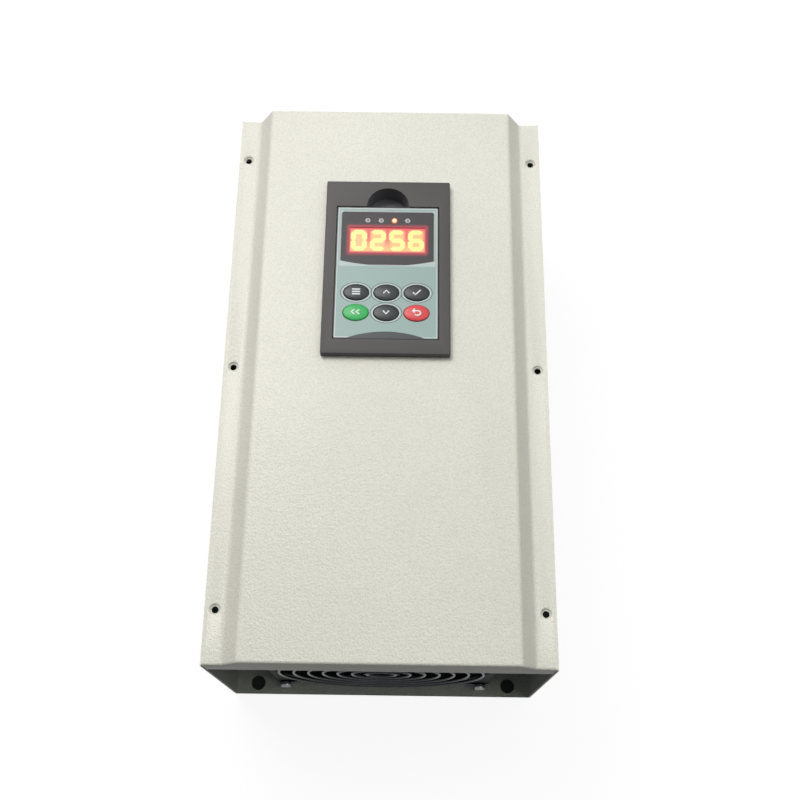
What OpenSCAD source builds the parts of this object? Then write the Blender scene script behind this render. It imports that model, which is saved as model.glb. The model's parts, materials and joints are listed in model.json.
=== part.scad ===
// Induction heating machine: a wall-mounted controller in a folded sheet-steel case.
// The case lies on its back. X runs across the case, Y from its bottom end to its top end,
// and Z from the back face out through the front cover. The origin is the middle of the back face.

/* [Case] */
// Width over the side walls
case_w = 210; // [210:1:240]
// Height from the bottom end to the top end
case_h = 380; // [378:1:420]
// Depth from the back face to the front of the side flanges
case_d = 150; // [150:1:165]
// Thickness of the chassis sheet
chassis_t = 1.5; // [1:0.1:2]
// Thickness of the cover sheet
cover_t = 1.2; // [0.8:0.1:1.5]
// Height of the raised centre of the cover above its flanges
raise_h = 13.5; // [12:0.5:18]
// Width of each flat side flange of the cover
flange_w = 13.5; // [13:0.5:18]
// Run of each slope of the cover
slope_w = 9; // [7:0.5:11]
// Reach of the folded end lips behind the flanges
lip_drop = 15; // [8:1:18]
// Width of the chassis edges turned in under the cover
return_w = 12; // [10.5:0.5:12.5]

/* [Cover holes] */
// Diameter of the holes in the cover flanges
cover_hole_d = 6; // [4.5:0.5:7]
// Diameter of the tapped holes behind them
tapped_hole_d = 4.2; // [3.2:0.1:4.4]
// Distance of the holes from the side of the case
cover_hole_in = 6.3; // [5.5:0.1:7]
// Distance of the end holes from each end of the case
cover_hole_end = 33; // [25:1:50]

/* [Wall mounting] */
// Diameter of the mounting holes in the back
mount_hole_d = 10; // [7:0.5:11]
// Distance of the mounting holes from the side of the case
mount_in = 16; // [12:1:22]
// Distance of the mounting holes from each end of the case
mount_end = 7.6; // [7.6:0.1:12]

/* [Ends] */
// Distance of the outlet panel from the top end
outlet_recess = 24; // [18:1:30]
// Width of an outlet slot
slot_w = 5; // [3:0.5:7]
// Length of an outlet slot
slot_l = 50; // [30:1:54]
// Distance from one outlet slot to the next
slot_pitch = 12; // [10:0.5:16]
// Outlet slots side by side in each row
slot_columns = 12; // [6:1:12]
// Gap between a cable grommet's flange and the fan or the side wall
grommet_side_gap = 2.25; // [1:0.25:4]
// Thickness of a grommet round its cable
grommet_wall_share = 0.25; // [0.2:0.01:0.3]
// Height of the cable grommets above the back face
grommet_z = 45; // [30:1:90]

/* [Fan] */
// Gap between the fan frame and the cover above it
fan_head_gap = 10.3; // [10.3:0.1:16]
// Depth of the fan frame
fan_depth = 50; // [45:1:52]
// Distance of the fan's face from the bottom end
fan_recess = 8.5; // [8.5:0.5:12]
// Distance of the fan's screws from the sides of its frame
fan_screw_inset = 6.5; // [6:0.5:8]
// Number of fan blades
blade_count = 7; // [5:1:9]
// Tilt of a blade out of the plane of the rotor, in degrees
blade_tilt = 38; // [25:1:45]
// Number of rings in the wire guard
guard_rings = 7; // [5:1:9]
// Wire thickness of the guard
guard_wire = 2; // [1.6:0.1:2.4]

/* [Heat sink and boards] */
// Width of the heat sink's base
sink_w = 150; // [140:1:156]
// Room between the heat sink and the outlet panel
choke_room = 54.5; // [52:0.5:58]
// Room between the control board and the keypad tray
ribbon_room = 24.5; // [20:0.5:30]
// Thickness of the heat sink's base
sink_base_t = 8; // [6:0.5:12]
// Thickness of a fin
fin_t = 2; // [1.5:0.1:3]
// Number of fins between the two outer ones
fin_count = 13; // [8:1:15]
// Height of the power modules
module_h = 30; // [28:1:31]
// Gap between the power board and the outlet panel
board_end_room = 36.5; // [32:0.5:40]
// Width of the power board
board_w = 144; // [144:1:150]
// Thickness of the boards
board_t = 1.6; // [1:0.1:2]
// Height of the control board above the power board
control_post_h = 22; // [21:0.5:24]

/* [Keypad] */
// Width of the keypad tray's flange
tray_w = 82.8; // [82:0.1:86]
// Height of the keypad tray's flange
tray_h = 127; // [126:0.5:132]
// Height of the tray's lower edge above the middle of the case
tray_y = 2.3; // [-5:0.1:10]
// Height of the tray's face above the cover
tray_face_h = 5; // [4:0.1:6]
// Width of the keypad module
pad_w = 67.6; // [67:0.1:69]
// Height of the keypad module
pad_h = 96.7; // [96:0.1:98]
// Height of the module's lower edge above the tray's lower edge
pad_in_tray_y = 10.6; // [9:0.1:11.5]
// Thickness of the keypad module
pad_t = 21; // [20.4:0.1:22]
// Radius of the half-moon finger notch
notch_r = 14; // [12:0.5:14.5]
// Depth of the finger notch
notch_depth = 14; // [8:0.5:16]

/* [Keys and display] */
// Width of an oval key
key_w = 16.6; // [15:0.1:17]
// Height of an oval key
key_h = 11.6; // [10:0.1:12]
// Distance from key to key across
key_pitch_x = 19.6; // [19.6:0.1:20.4]
// Distance from key to key down
key_pitch_y = 14.5; // [14.5:0.1:15.5]
// Height of the lower row of keys above the module's lower edge
key_row_y = 18.4; // [14:0.1:20]
// Height of a key above the face sheet
key_proud = 1.2; // [1:0.1:1.6]
// Travel of a key
key_travel = 0.6; // [0.3:0.05:0.8]
// Width of the tinted window
window_w = 62.6; // [60:0.1:64]
// Height of the window's lowest point above the module's lower edge
window_low_y = 52.6; // [50:0.1:54]
// Height of the window's upper edge above the module's lower edge
window_high_y = 93.6; // [92:0.1:94.5]
// Rise of the window's curved lower edge
window_bow = 3.7; // [2:0.1:5]
// Width of the four-digit display
display_w = 50.3; // [48:0.1:52]
// Height of the four-digit display
display_h = 19; // [17:0.1:20]
// Height of the display's middle above the module's lower edge
display_y = 71.8; // [70:0.1:73]
// Height of the indicator lamps above the module's lower edge
lamp_y = 86.4; // [85:0.1:88]
// Distance from lamp to lamp
lamp_pitch = 8.85; // [8:0.05:10]
// Diameter of an indicator lamp
lamp_d = 3; // [2.5:0.1:3.5]

/* [Hidden] */

$fn = 48;
cut = 0.5;            // overrun of every cut past the face that it opens
fit = 0.3;            // gap beside a piece that drops into another
run_fit = 0.05;       // radial clearance of a shaft in its bush
x_axis = [1, 0, 0];
y_axis = [0, 1, 0];

// Case, derived
half_w = case_w / 2;
half_h = case_h / 2;
inner_half = half_w - chassis_t;
raised_half = half_w - flange_w - slope_w;
slope_foot = half_w - flange_w;
face_z = case_d + raise_h;
slope_angle = atan(raise_h / slope_w);
slope_shift = cover_t * tan(slope_angle / 2);
flange_under_z = case_d - cover_t;
cover_under_z = face_z - cover_t;
hole_x = half_w - cover_hole_in;
hole_ys = [-half_h + cover_hole_end, 0, half_h - cover_hole_end];
mount_x = half_w - mount_in;
mount_y = half_h - mount_end;
cover_hole_sides = [-1, 1];

// Fan, derived
fan_foot_gap = 0.5;
fan_size = cover_under_z - fan_head_gap - fan_foot_gap - chassis_t;
fan_pitch = fan_size - 2 * fan_screw_inset;
fan_z = chassis_t + fan_foot_gap + fan_size / 2;
fan_wall = 3;
barrel_wall = 2.4;
fan_bore_r = fan_size / 2 - fan_wall;
fan_flange_t = 6;
fan_corner_r = 6;
fan_hub_r = 33;
fan_hub_plate_t = 4;
fan_spoke_w = 7;
fan_spoke_count = 4;
fan_hole_d = 4.5;
fan_screw_d = 4;
screw_head_r = 4;
screw_head_h = 2.6;
rotor_gap = 2;
rotor_front = 5;
cup_t = 3;
cup_gap = 2;
stator_r = 24;
stator_h = 20;
bush_tube_r = 7;
bush_r = 5;
bush_l = 7;
bush_tube_l = fan_hub_plate_t + stator_h + cup_gap;
shaft_r = 3;
blade_t = 2.2;
blade_root = 1;
guard_share = 0.92;
weld_depth = 0.4;
eye_wire_over = 0.3;
eye_wire = guard_wire + eye_wire_over;

// End panels, derived
panel_y = -half_h + fan_recess + fan_depth;
panel_foot_l = 12;
panel_top_z = flange_under_z - chassis_t - fit;
bay_w = inner_half - fan_size / 2;
bay_x = fan_size / 2 + bay_w / 2;
grommet_d = bay_w - 2 * grommet_side_gap;
grommet_bore = grommet_d * (1 - 2 * grommet_wall_share);
outlet_y = half_h - outlet_recess - chassis_t;
slot_rows_share = [0.28, 0.68];
grommet_flange_t = 3;
grommet_groove_t = 2;
earth_from_panel = 26;
earth_y = panel_y - earth_from_panel;

// Heat sink and boards, derived
board_gap = 8;
board_y0 = panel_y + chassis_t + board_gap;
board_overhang = 12;
board_l = outlet_y - board_end_room - board_y0;
sink_y0 = board_y0 + board_overhang;
sink_l = outlet_y - choke_room - sink_y0;
outer_fin_t = 4;
foot_w = 10;
foot_t = 3;
sink_screw_inset = 20;

// Keypad, derived
tray_z = face_z + tray_face_h;
tray_mid_y = tray_y + tray_h / 2;
pad_y = tray_y + pad_in_tray_y;
pad_mid_y = pad_y + pad_h / 2;
pad_sink = 0.5;
pad_top = tray_z - pad_sink;
pad_bottom = pad_top - pad_t;
pad_r = 1.5;
tray_r = 1;
tray_flange_over = 3.4;
tray_floor_t = 5.5;
tray_floor_top = pad_bottom - fit;
tray_bottom = tray_floor_top - tray_floor_t;
control_top = tray_bottom - ribbon_room;
control_z = control_top - board_t;
board_top = control_z - control_post_h;
board_z = board_top - board_t;
sink_top = board_z - module_h;
sink_h = sink_top - chassis_t;
sheet_t = 0.4;
housing_top = pad_top - sheet_t;
housing_wall = 1.8;
housing_roof_t = 2;
pad_back_t = 1.5;
pad_boss_h = 5;
pad_board_z = pad_bottom + pad_boss_h;
pad_board_top = pad_board_z + board_t;
key_clear = 0.3;
key_points = 48;
key_flange_over = 1;
key_flange_t = 1;
key_flange_gap = 0.1;
key_dome_r = 48;
key_stem_r = 2.4;
key_flange_top = housing_top - housing_roof_t - key_flange_gap;
switch_top_gap = 0.15;
switch_body = 6;
switch_body_h = 3.4;
plunger_r = 1.7;
plunger_h = 1;
plunger_top = pad_board_top + switch_body_h + plunger_h;
window_clear = 0.1;
window_corner_r = 3.5;
display_sink = 0.5;
display_top = housing_top - display_sink;
segment_t = 0.2;
digit_w = 9.6;
digit_h = 14.6;
digit_pitch = 12.6;
segment_w = 2.2;
segment_gap = 0.25;
lamp_sink = 0.1;
lamp_top = housing_top - lamp_sink;
lamp_clear = 0.2;
lamp_collar = 1;
plug_size = [14, 11];
plug_drop = 2.6;
socket_from_foot = 30;
socket_y = pad_y + socket_from_foot;
socket_wall = 1.5;

// Plain solids and outlines

module block(w, l, h) {
    translate([-w / 2, -l / 2, 0]) cube([w, l, h]);
}

module rounded(w, l, r) {
    square([w - 2 * r, l], center = true);
    square([w, l - 2 * r], center = true);
    for (sx = [-1, 1], sy = [-1, 1]) translate([sx * (w / 2 - r), sy * (l / 2 - r)]) circle(r = r);
}

module slot_outline(w, l) {
    square([w, l - w], center = true);
    for (s = [-1, 1]) translate([0, s * (l - w) / 2]) circle(d = w);
}

module ring(outer, inner, h) {
    difference() {
        cylinder(r = outer, h = h);
        translate([0, 0, -cut]) cylinder(r = inner, h = h + 2 * cut);
    }
}

module oval(w, h) {
    polygon([for (i = [0:key_points - 1])
        [w / 2 * cos(360 * i / key_points), h / 2 * sin(360 * i / key_points)]]);
}

module pan_screw(shank_d, shank_l, head_r, head_h) {
    translate([0, 0, -shank_l]) cylinder(d = shank_d, h = shank_l);
    cylinder(r = head_r, h = head_h);
}

// Stands an outline drawn across X and Z up, and gives it a thickness towards the top end
module upright(y, t) {
    translate([0, y + t, 0]) rotate(90, x_axis) linear_extrude(t) children();
}

// Case

function under_points(clear) = [
    [slope_foot - slope_shift, flange_under_z - clear],
    [raised_half - slope_shift, cover_under_z - clear],
    [-raised_half + slope_shift, cover_under_z - clear],
    [-slope_foot + slope_shift, flange_under_z - clear]];

module cover_profile() {
    polygon(concat(
        [[-half_w, flange_under_z], [-half_w, case_d], [-slope_foot, case_d], [-raised_half, face_z],
            [raised_half, face_z], [slope_foot, case_d], [half_w, case_d], [half_w, flange_under_z]],
        under_points(0)));
}

module lip_profile() {
    lip_half = inner_half - fit;
    polygon(concat(
        [[-lip_half, flange_under_z], [-lip_half, case_d - lip_drop],
            [lip_half, case_d - lip_drop], [lip_half, flange_under_z]],
        under_points(0)));
}

module chassis() {
    color([0.83, 0.83, 0.78]) difference() {
        union() {
            translate([-half_w, -half_h, 0]) cube([case_w, case_h, chassis_t]);
            for (side = cover_hole_sides) {
                translate([side * (half_w - chassis_t / 2), 0, 0]) block(chassis_t, case_h, flange_under_z);
                translate([side * (half_w - return_w / 2), 0, flange_under_z - chassis_t])
                    block(return_w, case_h - 2 * (cover_t + fit), chassis_t);
            }
        }
        for (sx = [-1, 1], sy = [-1, 1]) translate([sx * mount_x, sy * mount_y, -cut])
            cylinder(d = mount_hole_d, h = chassis_t + 2 * cut);
        for (side = cover_hole_sides, y = hole_ys) translate([side * hole_x, y, flange_under_z - chassis_t - cut])
            cylinder(d = tapped_hole_d, h = chassis_t + 2 * cut);
    }
}

module front_cover() {
    cutout_w = tray_w - 2 * tray_flange_over;
    cutout_h = tray_h - 2 * tray_flange_over;
    color([0.86, 0.85, 0.80]) difference() {
        union() {
            upright(-half_h, case_h) cover_profile();
            upright(-half_h, cover_t) lip_profile();
            upright(half_h - cover_t, cover_t) lip_profile();
        }
        translate([0, tray_mid_y, cover_under_z - cut]) block(cutout_w, cutout_h, cover_t + 2 * cut);
        for (side = cover_hole_sides, y = hole_ys) translate([side * hole_x, y, flange_under_z - cut])
            cylinder(d = cover_hole_d, h = cover_t + 2 * cut);
    }
}

module panel_outline() {
    panel_half = inner_half - fit;
    polygon(concat(
        [[-panel_half, panel_top_z], [-panel_half, chassis_t], [panel_half, chassis_t], [panel_half, panel_top_z],
            [half_w - return_w - slope_shift - fit, panel_top_z]],
        [[raised_half - slope_shift - fit, cover_under_z - fit],
            [-raised_half + slope_shift + fit, cover_under_z - fit]],
        [[-half_w + return_w + slope_shift + fit, panel_top_z]]));
}

module bottom_end_panel() {
    color([0.80, 0.80, 0.76]) {
        upright(panel_y, chassis_t) difference() {
            panel_outline();
            translate([0, fan_z]) circle(r = fan_bore_r, $fn = 96);
            for (sx = [-1, 1], sz = [-1, 1]) translate([sx * fan_pitch / 2, fan_z + sz * fan_pitch / 2])
                circle(d = fan_hole_d);
            for (side = [-1, 1]) translate([side * bay_x, grommet_z])
                circle(r = grommet_d / 2 - grommet_groove_t);
        }
        for (side = [-1, 1]) translate([side * bay_x, panel_y + panel_foot_l / 2, chassis_t])
            block(bay_w - 2 * fit, panel_foot_l, chassis_t);
    }
}

module top_end_panel() {
    span = panel_top_z - chassis_t;
    color([0.80, 0.80, 0.76]) {
        upright(outlet_y, chassis_t) difference() {
            panel_outline();
            for (row = slot_rows_share, i = [0:slot_columns - 1])
                translate([(i - (slot_columns - 1) / 2) * slot_pitch, chassis_t + row * span])
                    slot_outline(slot_w, slot_l);
        }
        translate([0, outlet_y + chassis_t - panel_foot_l / 2, chassis_t])
            block(2 * (mount_x - mount_hole_d), panel_foot_l, chassis_t);
    }
}

module grommet(side) {
    color([0.12, 0.12, 0.13]) translate([side * bay_x, panel_y - grommet_flange_t, grommet_z])
        rotate(-90, x_axis) difference() {
            union() {
                cylinder(d = grommet_d, h = grommet_flange_t);
                cylinder(r = grommet_d / 2 - grommet_groove_t - run_fit, h = 2 * grommet_flange_t + chassis_t);
                translate([0, 0, grommet_flange_t + chassis_t]) cylinder(d = grommet_d, h = grommet_flange_t);
            }
            translate([0, 0, -cut]) cylinder(d = grommet_bore, h = 2 * grommet_flange_t + chassis_t + 2 * cut);
        }
}

module earth_stud() {
    stud_d = grommet_d * grommet_wall_share;
    stud_l = 20;
    nut_wall = 2;
    nut_af = stud_d + 2 * nut_wall;
    nut_h = 5;
    color([0.78, 0.66, 0.36]) translate([-bay_x, earth_y, chassis_t]) {
        cylinder(d = stud_d, h = stud_l);
        cylinder(d = nut_af / cos(30), h = nut_h, $fn = 6);
        translate([0, 0, nut_h]) cylinder(d = 2 * stud_d, h = stud_d / 4);
    }
}

// Fan. Inside this placing, Z runs from the fan's face into the case.

module at_fan() {
    translate([0, -half_h + fan_recess, fan_z]) rotate(-90, x_axis) children();
}

module at_fan_screws() {
    for (sx = [-1, 1], sy = [-1, 1]) translate([sx * fan_pitch / 2, sy * fan_pitch / 2, 0]) children();
}

module fan_frame() {
    spoke_start = fan_hub_r - fan_spoke_w;
    spoke_l = fan_bore_r + barrel_wall / 2 - spoke_start;
    color([0.16, 0.17, 0.18]) at_fan() {
        difference() {
            union() {
                linear_extrude(fan_flange_t) rounded(fan_size, fan_size, fan_corner_r);
                translate([0, 0, fan_depth - fan_flange_t])
                    linear_extrude(fan_flange_t) rounded(fan_size, fan_size, fan_corner_r);
                cylinder(r = fan_bore_r + barrel_wall, h = fan_depth, $fn = 96);
            }
            translate([0, 0, -cut]) cylinder(r = fan_bore_r, h = fan_depth + 2 * cut, $fn = 96);
            translate([0, 0, -cut]) at_fan_screws() cylinder(d = fan_hole_d, h = fan_depth + 2 * cut);
        }
        difference() {
            union() {
                translate([0, 0, fan_depth - fan_hub_plate_t]) cylinder(r = fan_hub_r, h = fan_hub_plate_t);
                translate([0, 0, fan_depth - bush_tube_l]) cylinder(r = bush_tube_r, h = bush_tube_l);
                for (i = [0:fan_spoke_count - 1]) rotate(45 + i * 360 / fan_spoke_count)
                    translate([spoke_start + spoke_l / 2, 0, fan_depth - fan_hub_plate_t])
                        block(spoke_l, fan_spoke_w, fan_hub_plate_t);
            }
            cylinder(r = bush_r + run_fit, h = fan_depth + cut);
        }
    }
}

module fan_stator() {
    color([0.62, 0.36, 0.20]) at_fan() translate([0, 0, fan_depth - fan_hub_plate_t - stator_h])
        ring(stator_r, bush_tube_r + run_fit, stator_h);
}

module fan_bearings() {
    color([0.72, 0.55, 0.30]) at_fan() {
        translate([0, 0, fan_depth - bush_l]) ring(bush_r, shaft_r + run_fit, bush_l);
        translate([0, 0, fan_depth - bush_tube_l]) ring(bush_r, shaft_r + run_fit, bush_l);
    }
}

module fan_rotor() {
    cup_h = fan_depth - fan_hub_plate_t - cup_gap - rotor_front;
    blade_r = fan_bore_r - rotor_gap;
    blade_span = cup_h - 2 * blade_root;
    color([0.20, 0.21, 0.22]) at_fan() translate([0, 0, rotor_front]) {
        difference() {
            cylinder(r = fan_hub_r, h = cup_h);
            translate([0, 0, cup_t]) cylinder(r = fan_hub_r - cup_t, h = cup_h);
        }
        cylinder(r = shaft_r, h = fan_depth - rotor_front);
        intersection() {
            translate([0, 0, blade_root]) ring(blade_r, fan_hub_r - blade_root, blade_span);
            for (i = [0:blade_count - 1]) rotate(i * 360 / blade_count)
                translate([0, 0, cup_h / 2]) rotate(blade_tilt, x_axis)
                    translate([blade_r / 2, 0, -blade_t / 2]) block(blade_r, fan_size, blade_t);
        }
    }
}

module guard_ring(r) {
    rotate_extrude($fn = 96) translate([r, 0]) circle(d = guard_wire, $fn = 16);
}

module fan_guard() {
    eye_r = fan_screw_d / 2 + eye_wire / 2 + run_fit;
    wire_z = -eye_wire / 2 - run_fit;
    ring_z = wire_z - guard_wire + weld_depth;
    corner_r = fan_pitch / 2 * sqrt(2);
    outer_r = fan_bore_r * guard_share;
    color([0.80, 0.81, 0.83]) at_fan() {
        for (i = [1:guard_rings]) translate([0, 0, ring_z]) guard_ring(outer_r * i / guard_rings);
        for (i = [0:3]) rotate(45 + 90 * i) {
            start = outer_r / guard_rings - guard_wire;
            translate([start, 0, wire_z]) rotate(90, y_axis)
                cylinder(d = guard_wire, h = corner_r - eye_r - start, $fn = 16);
            translate([corner_r, 0, wire_z]) rotate_extrude() translate([eye_r, 0])
                circle(d = eye_wire, $fn = 16);
        }
    }
}

module fan_screws() {
    nut_af = 7;
    nut_h = 3;
    head_z = -eye_wire - 2 * run_fit;
    color([0.75, 0.76, 0.78]) at_fan() at_fan_screws() {
        translate([0, 0, head_z]) rotate(180, x_axis)
            pan_screw(fan_screw_d, fan_depth + chassis_t + nut_h - head_z, screw_head_r, screw_head_h);
        translate([0, 0, fan_depth + chassis_t]) cylinder(d = nut_af / cos(30), h = nut_h, $fn = 6);
    }
}

// Two-core lead from the fan's hub plate, up behind one spoke and over to the power board
module fan_lead() {
    lead_d = 3;
    start_x = 20;
    lead_y = panel_y + lead_d;
    top_z = board_top + lead_d;
    color([0.15, 0.15, 0.16]) {
        translate([start_x, panel_y, fan_z]) rotate(-90, x_axis) cylinder(d = lead_d, h = lead_d);
        translate([start_x, lead_y, fan_z]) sphere(d = lead_d);
        translate([start_x, lead_y, fan_z]) cylinder(d = lead_d, h = top_z - fan_z);
        translate([start_x, lead_y, top_z]) sphere(d = lead_d);
        translate([start_x, lead_y, top_z]) rotate(-90, x_axis) cylinder(d = lead_d, h = board_y0 - lead_y);
        translate([start_x, board_y0 + lead_d / 2, board_top]) block(2 * lead_d, lead_d, 2 * lead_d);
    }
}

// Heat sink and power modules

module heat_sink() {
    fin_room = sink_w - 2 * outer_fin_t;
    fin_pitch = fin_room / (fin_count + 1);
    color([0.66, 0.67, 0.69]) translate([0, sink_y0 + sink_l / 2, chassis_t]) difference() {
        union() {
            translate([0, 0, sink_h - sink_base_t]) block(sink_w, sink_l, sink_base_t);
            for (i = [1:fin_count]) translate([-fin_room / 2 + i * fin_pitch, 0, 0]) block(fin_t, sink_l, sink_h);
            for (side = [-1, 1]) {
                translate([side * (sink_w - outer_fin_t) / 2, 0, 0]) block(outer_fin_t, sink_l, sink_h);
                translate([side * (sink_w + foot_w) / 2, 0, 0]) block(foot_w, sink_l, foot_t);
            }
        }
        for (sx = [-1, 1], sy = [-1, 1])
            translate([sx * (sink_w + foot_w) / 2, sy * (sink_l / 2 - sink_screw_inset), -cut])
                cylinder(d = fan_hole_d, h = foot_t + 2 * cut);
    }
}

module heat_sink_screws() {
    color([0.75, 0.76, 0.78]) translate([0, sink_y0 + sink_l / 2, chassis_t + foot_t])
        for (sx = [-1, 1], sy = [-1, 1])
            translate([sx * (sink_w + foot_w) / 2, sy * (sink_l / 2 - sink_screw_inset), 0])
                pan_screw(fan_screw_d, foot_t, screw_head_r, screw_head_h);
}

module_size = [94, 34];
module_screw_x = 40;
module_post_share = 0.9;
module_inset = 30;
module_step = 45;
transistor_ys = [sink_y0 + module_inset, sink_y0 + module_inset + module_step];
rectifier_share = 0.62;
rectifier_y = transistor_ys[1] + (sink_y0 + sink_l - transistor_ys[1]) * rectifier_share;
module_ys = concat(transistor_ys, [rectifier_y]);

module power_module(y) {
    color([0.18, 0.19, 0.21]) translate([0, y, sink_top]) difference() {
        union() {
            block(module_size[0], module_size[1], module_h * module_post_share);
            block(module_size[0] - 4 * screw_head_r, module_size[1] - screw_head_r, module_h);
        }
        for (side = [-1, 1]) translate([side * module_screw_x, 0, 0]) {
            translate([0, 0, foot_t]) cylinder(r = screw_head_r + fit, h = module_h);
            translate([0, 0, -cut]) cylinder(d = fan_hole_d, h = module_h);
        }
    }
}

module transistor_module(index) {
    power_module(transistor_ys[index]);
}

module rectifier_module() {
    power_module(rectifier_y);
}

module module_screws() {
    color([0.75, 0.76, 0.78]) for (y = module_ys, side = [-1, 1])
        translate([side * module_screw_x, y, sink_top + foot_t])
            pan_screw(fan_screw_d, foot_t, screw_head_r, screw_head_h);
}

module thermostat() {
    can_r = 8;
    can_h = 7;
    ear = [26, 8, 1];
    color([0.70, 0.68, 0.64]) translate([0, (transistor_ys[1] + rectifier_y) / 2, sink_top]) {
        block(ear[0], ear[1], ear[2]);
        cylinder(r = can_r, h = can_h);
    }
}

// Power board

post_r = 3;
post_inset = 8;
board_mid_y = board_y0 + board_l / 2;

module power_board() {
    color([0.10, 0.36, 0.20]) translate([0, board_mid_y, board_z]) block(board_w, board_l, board_t);
}

module power_board_posts() {
    color([0.80, 0.68, 0.38]) for (sx = [-1, 1], y = [sink_y0 + post_inset, sink_y0 + sink_l - post_inset])
        translate([sx * (sink_w / 2 - post_inset), y, sink_top]) cylinder(r = post_r, h = module_h, $fn = 6);
}

can_r = 15;
can_h = 40;
can_pitch = 31;
can_inset = 52;
can_y = board_y0 + can_inset;
can_rim = 2;
can_count = 4;

module bus_capacitor(index) {
    color([0.13, 0.17, 0.32]) translate([(index - (can_count - 1) / 2) * can_pitch, can_y, board_top]) {
        cylinder(r = can_r, h = can_h - can_rim);
        translate([0, 0, can_h - can_rim]) cylinder(r = can_r - can_rim, h = can_rim);
    }
}

film_size = [54, 26, 38];
film_gap = 4;
film_y = can_y + can_r + film_gap + film_size[1] / 2;
film_x = (film_size[0] + film_gap) / 2;

module resonant_capacitor(side) {
    color([0.85, 0.84, 0.80]) translate([side * film_x, film_y, board_top])
        block(film_size[0], film_size[1], film_size[2]);
}

bar_inset = 6;
bar_x = board_w / 2 - bar_inset;
bar_w = 4;
bar_t = 2;
bar_lift = 5;
terminal_inset = 14;
terminal_y = board_y0 + terminal_inset;
terminal_size = [120, 20, 22];
terminal_wall = 2;
terminal_count = 8;
terminal_pitch = (terminal_size[0] - terminal_wall) / terminal_count;
bar_y0 = terminal_y + terminal_size[1] / 2;
bar_past_film = 22;
bar_y1 = film_y + film_size[1] / 2 + bar_past_film;
bar_l = bar_y1 - bar_y0;

module output_busbars() {
    color([0.80, 0.48, 0.28]) for (side = [-1, 1]) translate([side * bar_x, bar_y0, board_top]) {
        translate([-bar_w / 2, 0, bar_lift]) cube([bar_w, bar_l, bar_t]);
        translate([-bar_w / 2, 0, 0]) cube([bar_w, bar_t, bar_lift + bar_t]);
        translate([-bar_w / 2, bar_l - bar_t, 0]) cube([bar_w, bar_t, bar_lift + bar_t]);
    }
}

sensor_size = [14, 9, 20];
sensor_from_end = 12;
sensor_y = bar_y1 - sensor_from_end;

module current_sensor() {
    sensor_wall = 2;
    sensor_x = bar_x + bar_w / 2 + sensor_wall - sensor_size[0] / 2;
    color([0.14, 0.15, 0.30]) difference() {
        translate([sensor_x, sensor_y, board_top]) block(sensor_size[0], sensor_size[1], sensor_size[2]);
        translate([bar_x, sensor_y, board_top + bar_lift - fit])
            block(bar_w + 2 * fit, sensor_size[1] + 2 * cut, bar_t + 2 * fit);
    }
}

relay_size = [28, 18, 16];

module start_relay() {
    color([0.10, 0.20, 0.42]) translate([-bar_x + relay_size[0] / 2 + 2 * bar_w, sensor_y, board_top])
        block(relay_size[0], relay_size[1], relay_size[2]);
}

module start_resistor() {
    resistor = [30, 9, 9];
    color([0.88, 0.88, 0.84]) translate([2 * resistor[1] / 2, sensor_y, board_top])
        block(resistor[0], resistor[1], resistor[2]);
}

module terminal_block() {
    deck_h = terminal_size[2] / 2;
    color([0.10, 0.10, 0.11]) translate([0, terminal_y, board_top]) {
        block(terminal_size[0], terminal_size[1], deck_h);
        for (i = [0:terminal_count]) translate([(i - terminal_count / 2) * terminal_pitch, 0, 0])
            block(terminal_wall, terminal_size[1], terminal_size[2]);
    }
}

module terminal_screws() {
    color([0.80, 0.81, 0.83]) for (i = [0:terminal_count - 1])
        translate([(i - (terminal_count - 1) / 2) * terminal_pitch, terminal_y, board_top + terminal_size[2] / 2])
            cylinder(r = screw_head_r, h = screw_head_h);
}

module filter_choke() {
    core_r = 21;
    hole_r = 8;
    core_h = 22;
    bolt_d = 5;
    foot_y = outlet_y + chassis_t - panel_foot_l;
    choke_y = (sink_y0 + sink_l + foot_y) / 2;
    color([0.72, 0.42, 0.20]) translate([-sink_w / 4, choke_y, chassis_t]) {
        ring(core_r, hole_r, core_h);
        cylinder(d = bolt_d, h = core_h + foot_t);
        translate([0, 0, core_h]) cylinder(r = hole_r + foot_t, h = foot_t / 2);
    }
}

// Control board, above the power board and behind the keypad

control_inset = 4;
control_end = board_y0 + board_l - control_inset;
control_length_share = 0.645;
control_size = [120, (control_end - film_y - film_size[1] / 2) * control_length_share];
control_y = control_end - control_size[1] / 2;
control_post_inset = 5;

module control_board() {
    color([0.10, 0.30, 0.42]) translate([0, control_y, control_z])
        block(control_size[0], control_size[1], board_t);
}

module control_board_posts() {
    color([0.80, 0.68, 0.38]) for (sx = [-1, 1], sy = [-1, 1])
        translate([sx * (control_size[0] / 2 - control_post_inset),
            control_y + sy * (control_size[1] / 2 - control_post_inset), board_top])
                cylinder(r = post_r, h = control_post_h, $fn = 6);
}

header_size = [24, 6, 8];
header_from_mid = 14;
header_y = control_y + header_from_mid;

module control_chips() {
    large = [14, 14, 1.6];
    small = [6, 5, 1.6];
    small_pitch = 10;
    small_count = 4;
    color([0.12, 0.12, 0.13]) translate([-control_size[0] / 4, control_y, control_top]) {
        block(large[0], large[1], large[2]);
        for (i = [0:small_count - 1]) translate([(i - 1) * small_pitch, large[1], 0])
            block(small[0], small[1], small[2]);
    }
    color([0.85, 0.84, 0.80]) translate([0, header_y, control_top])
        block(header_size[0], header_size[1], header_size[2]);
}

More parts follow.
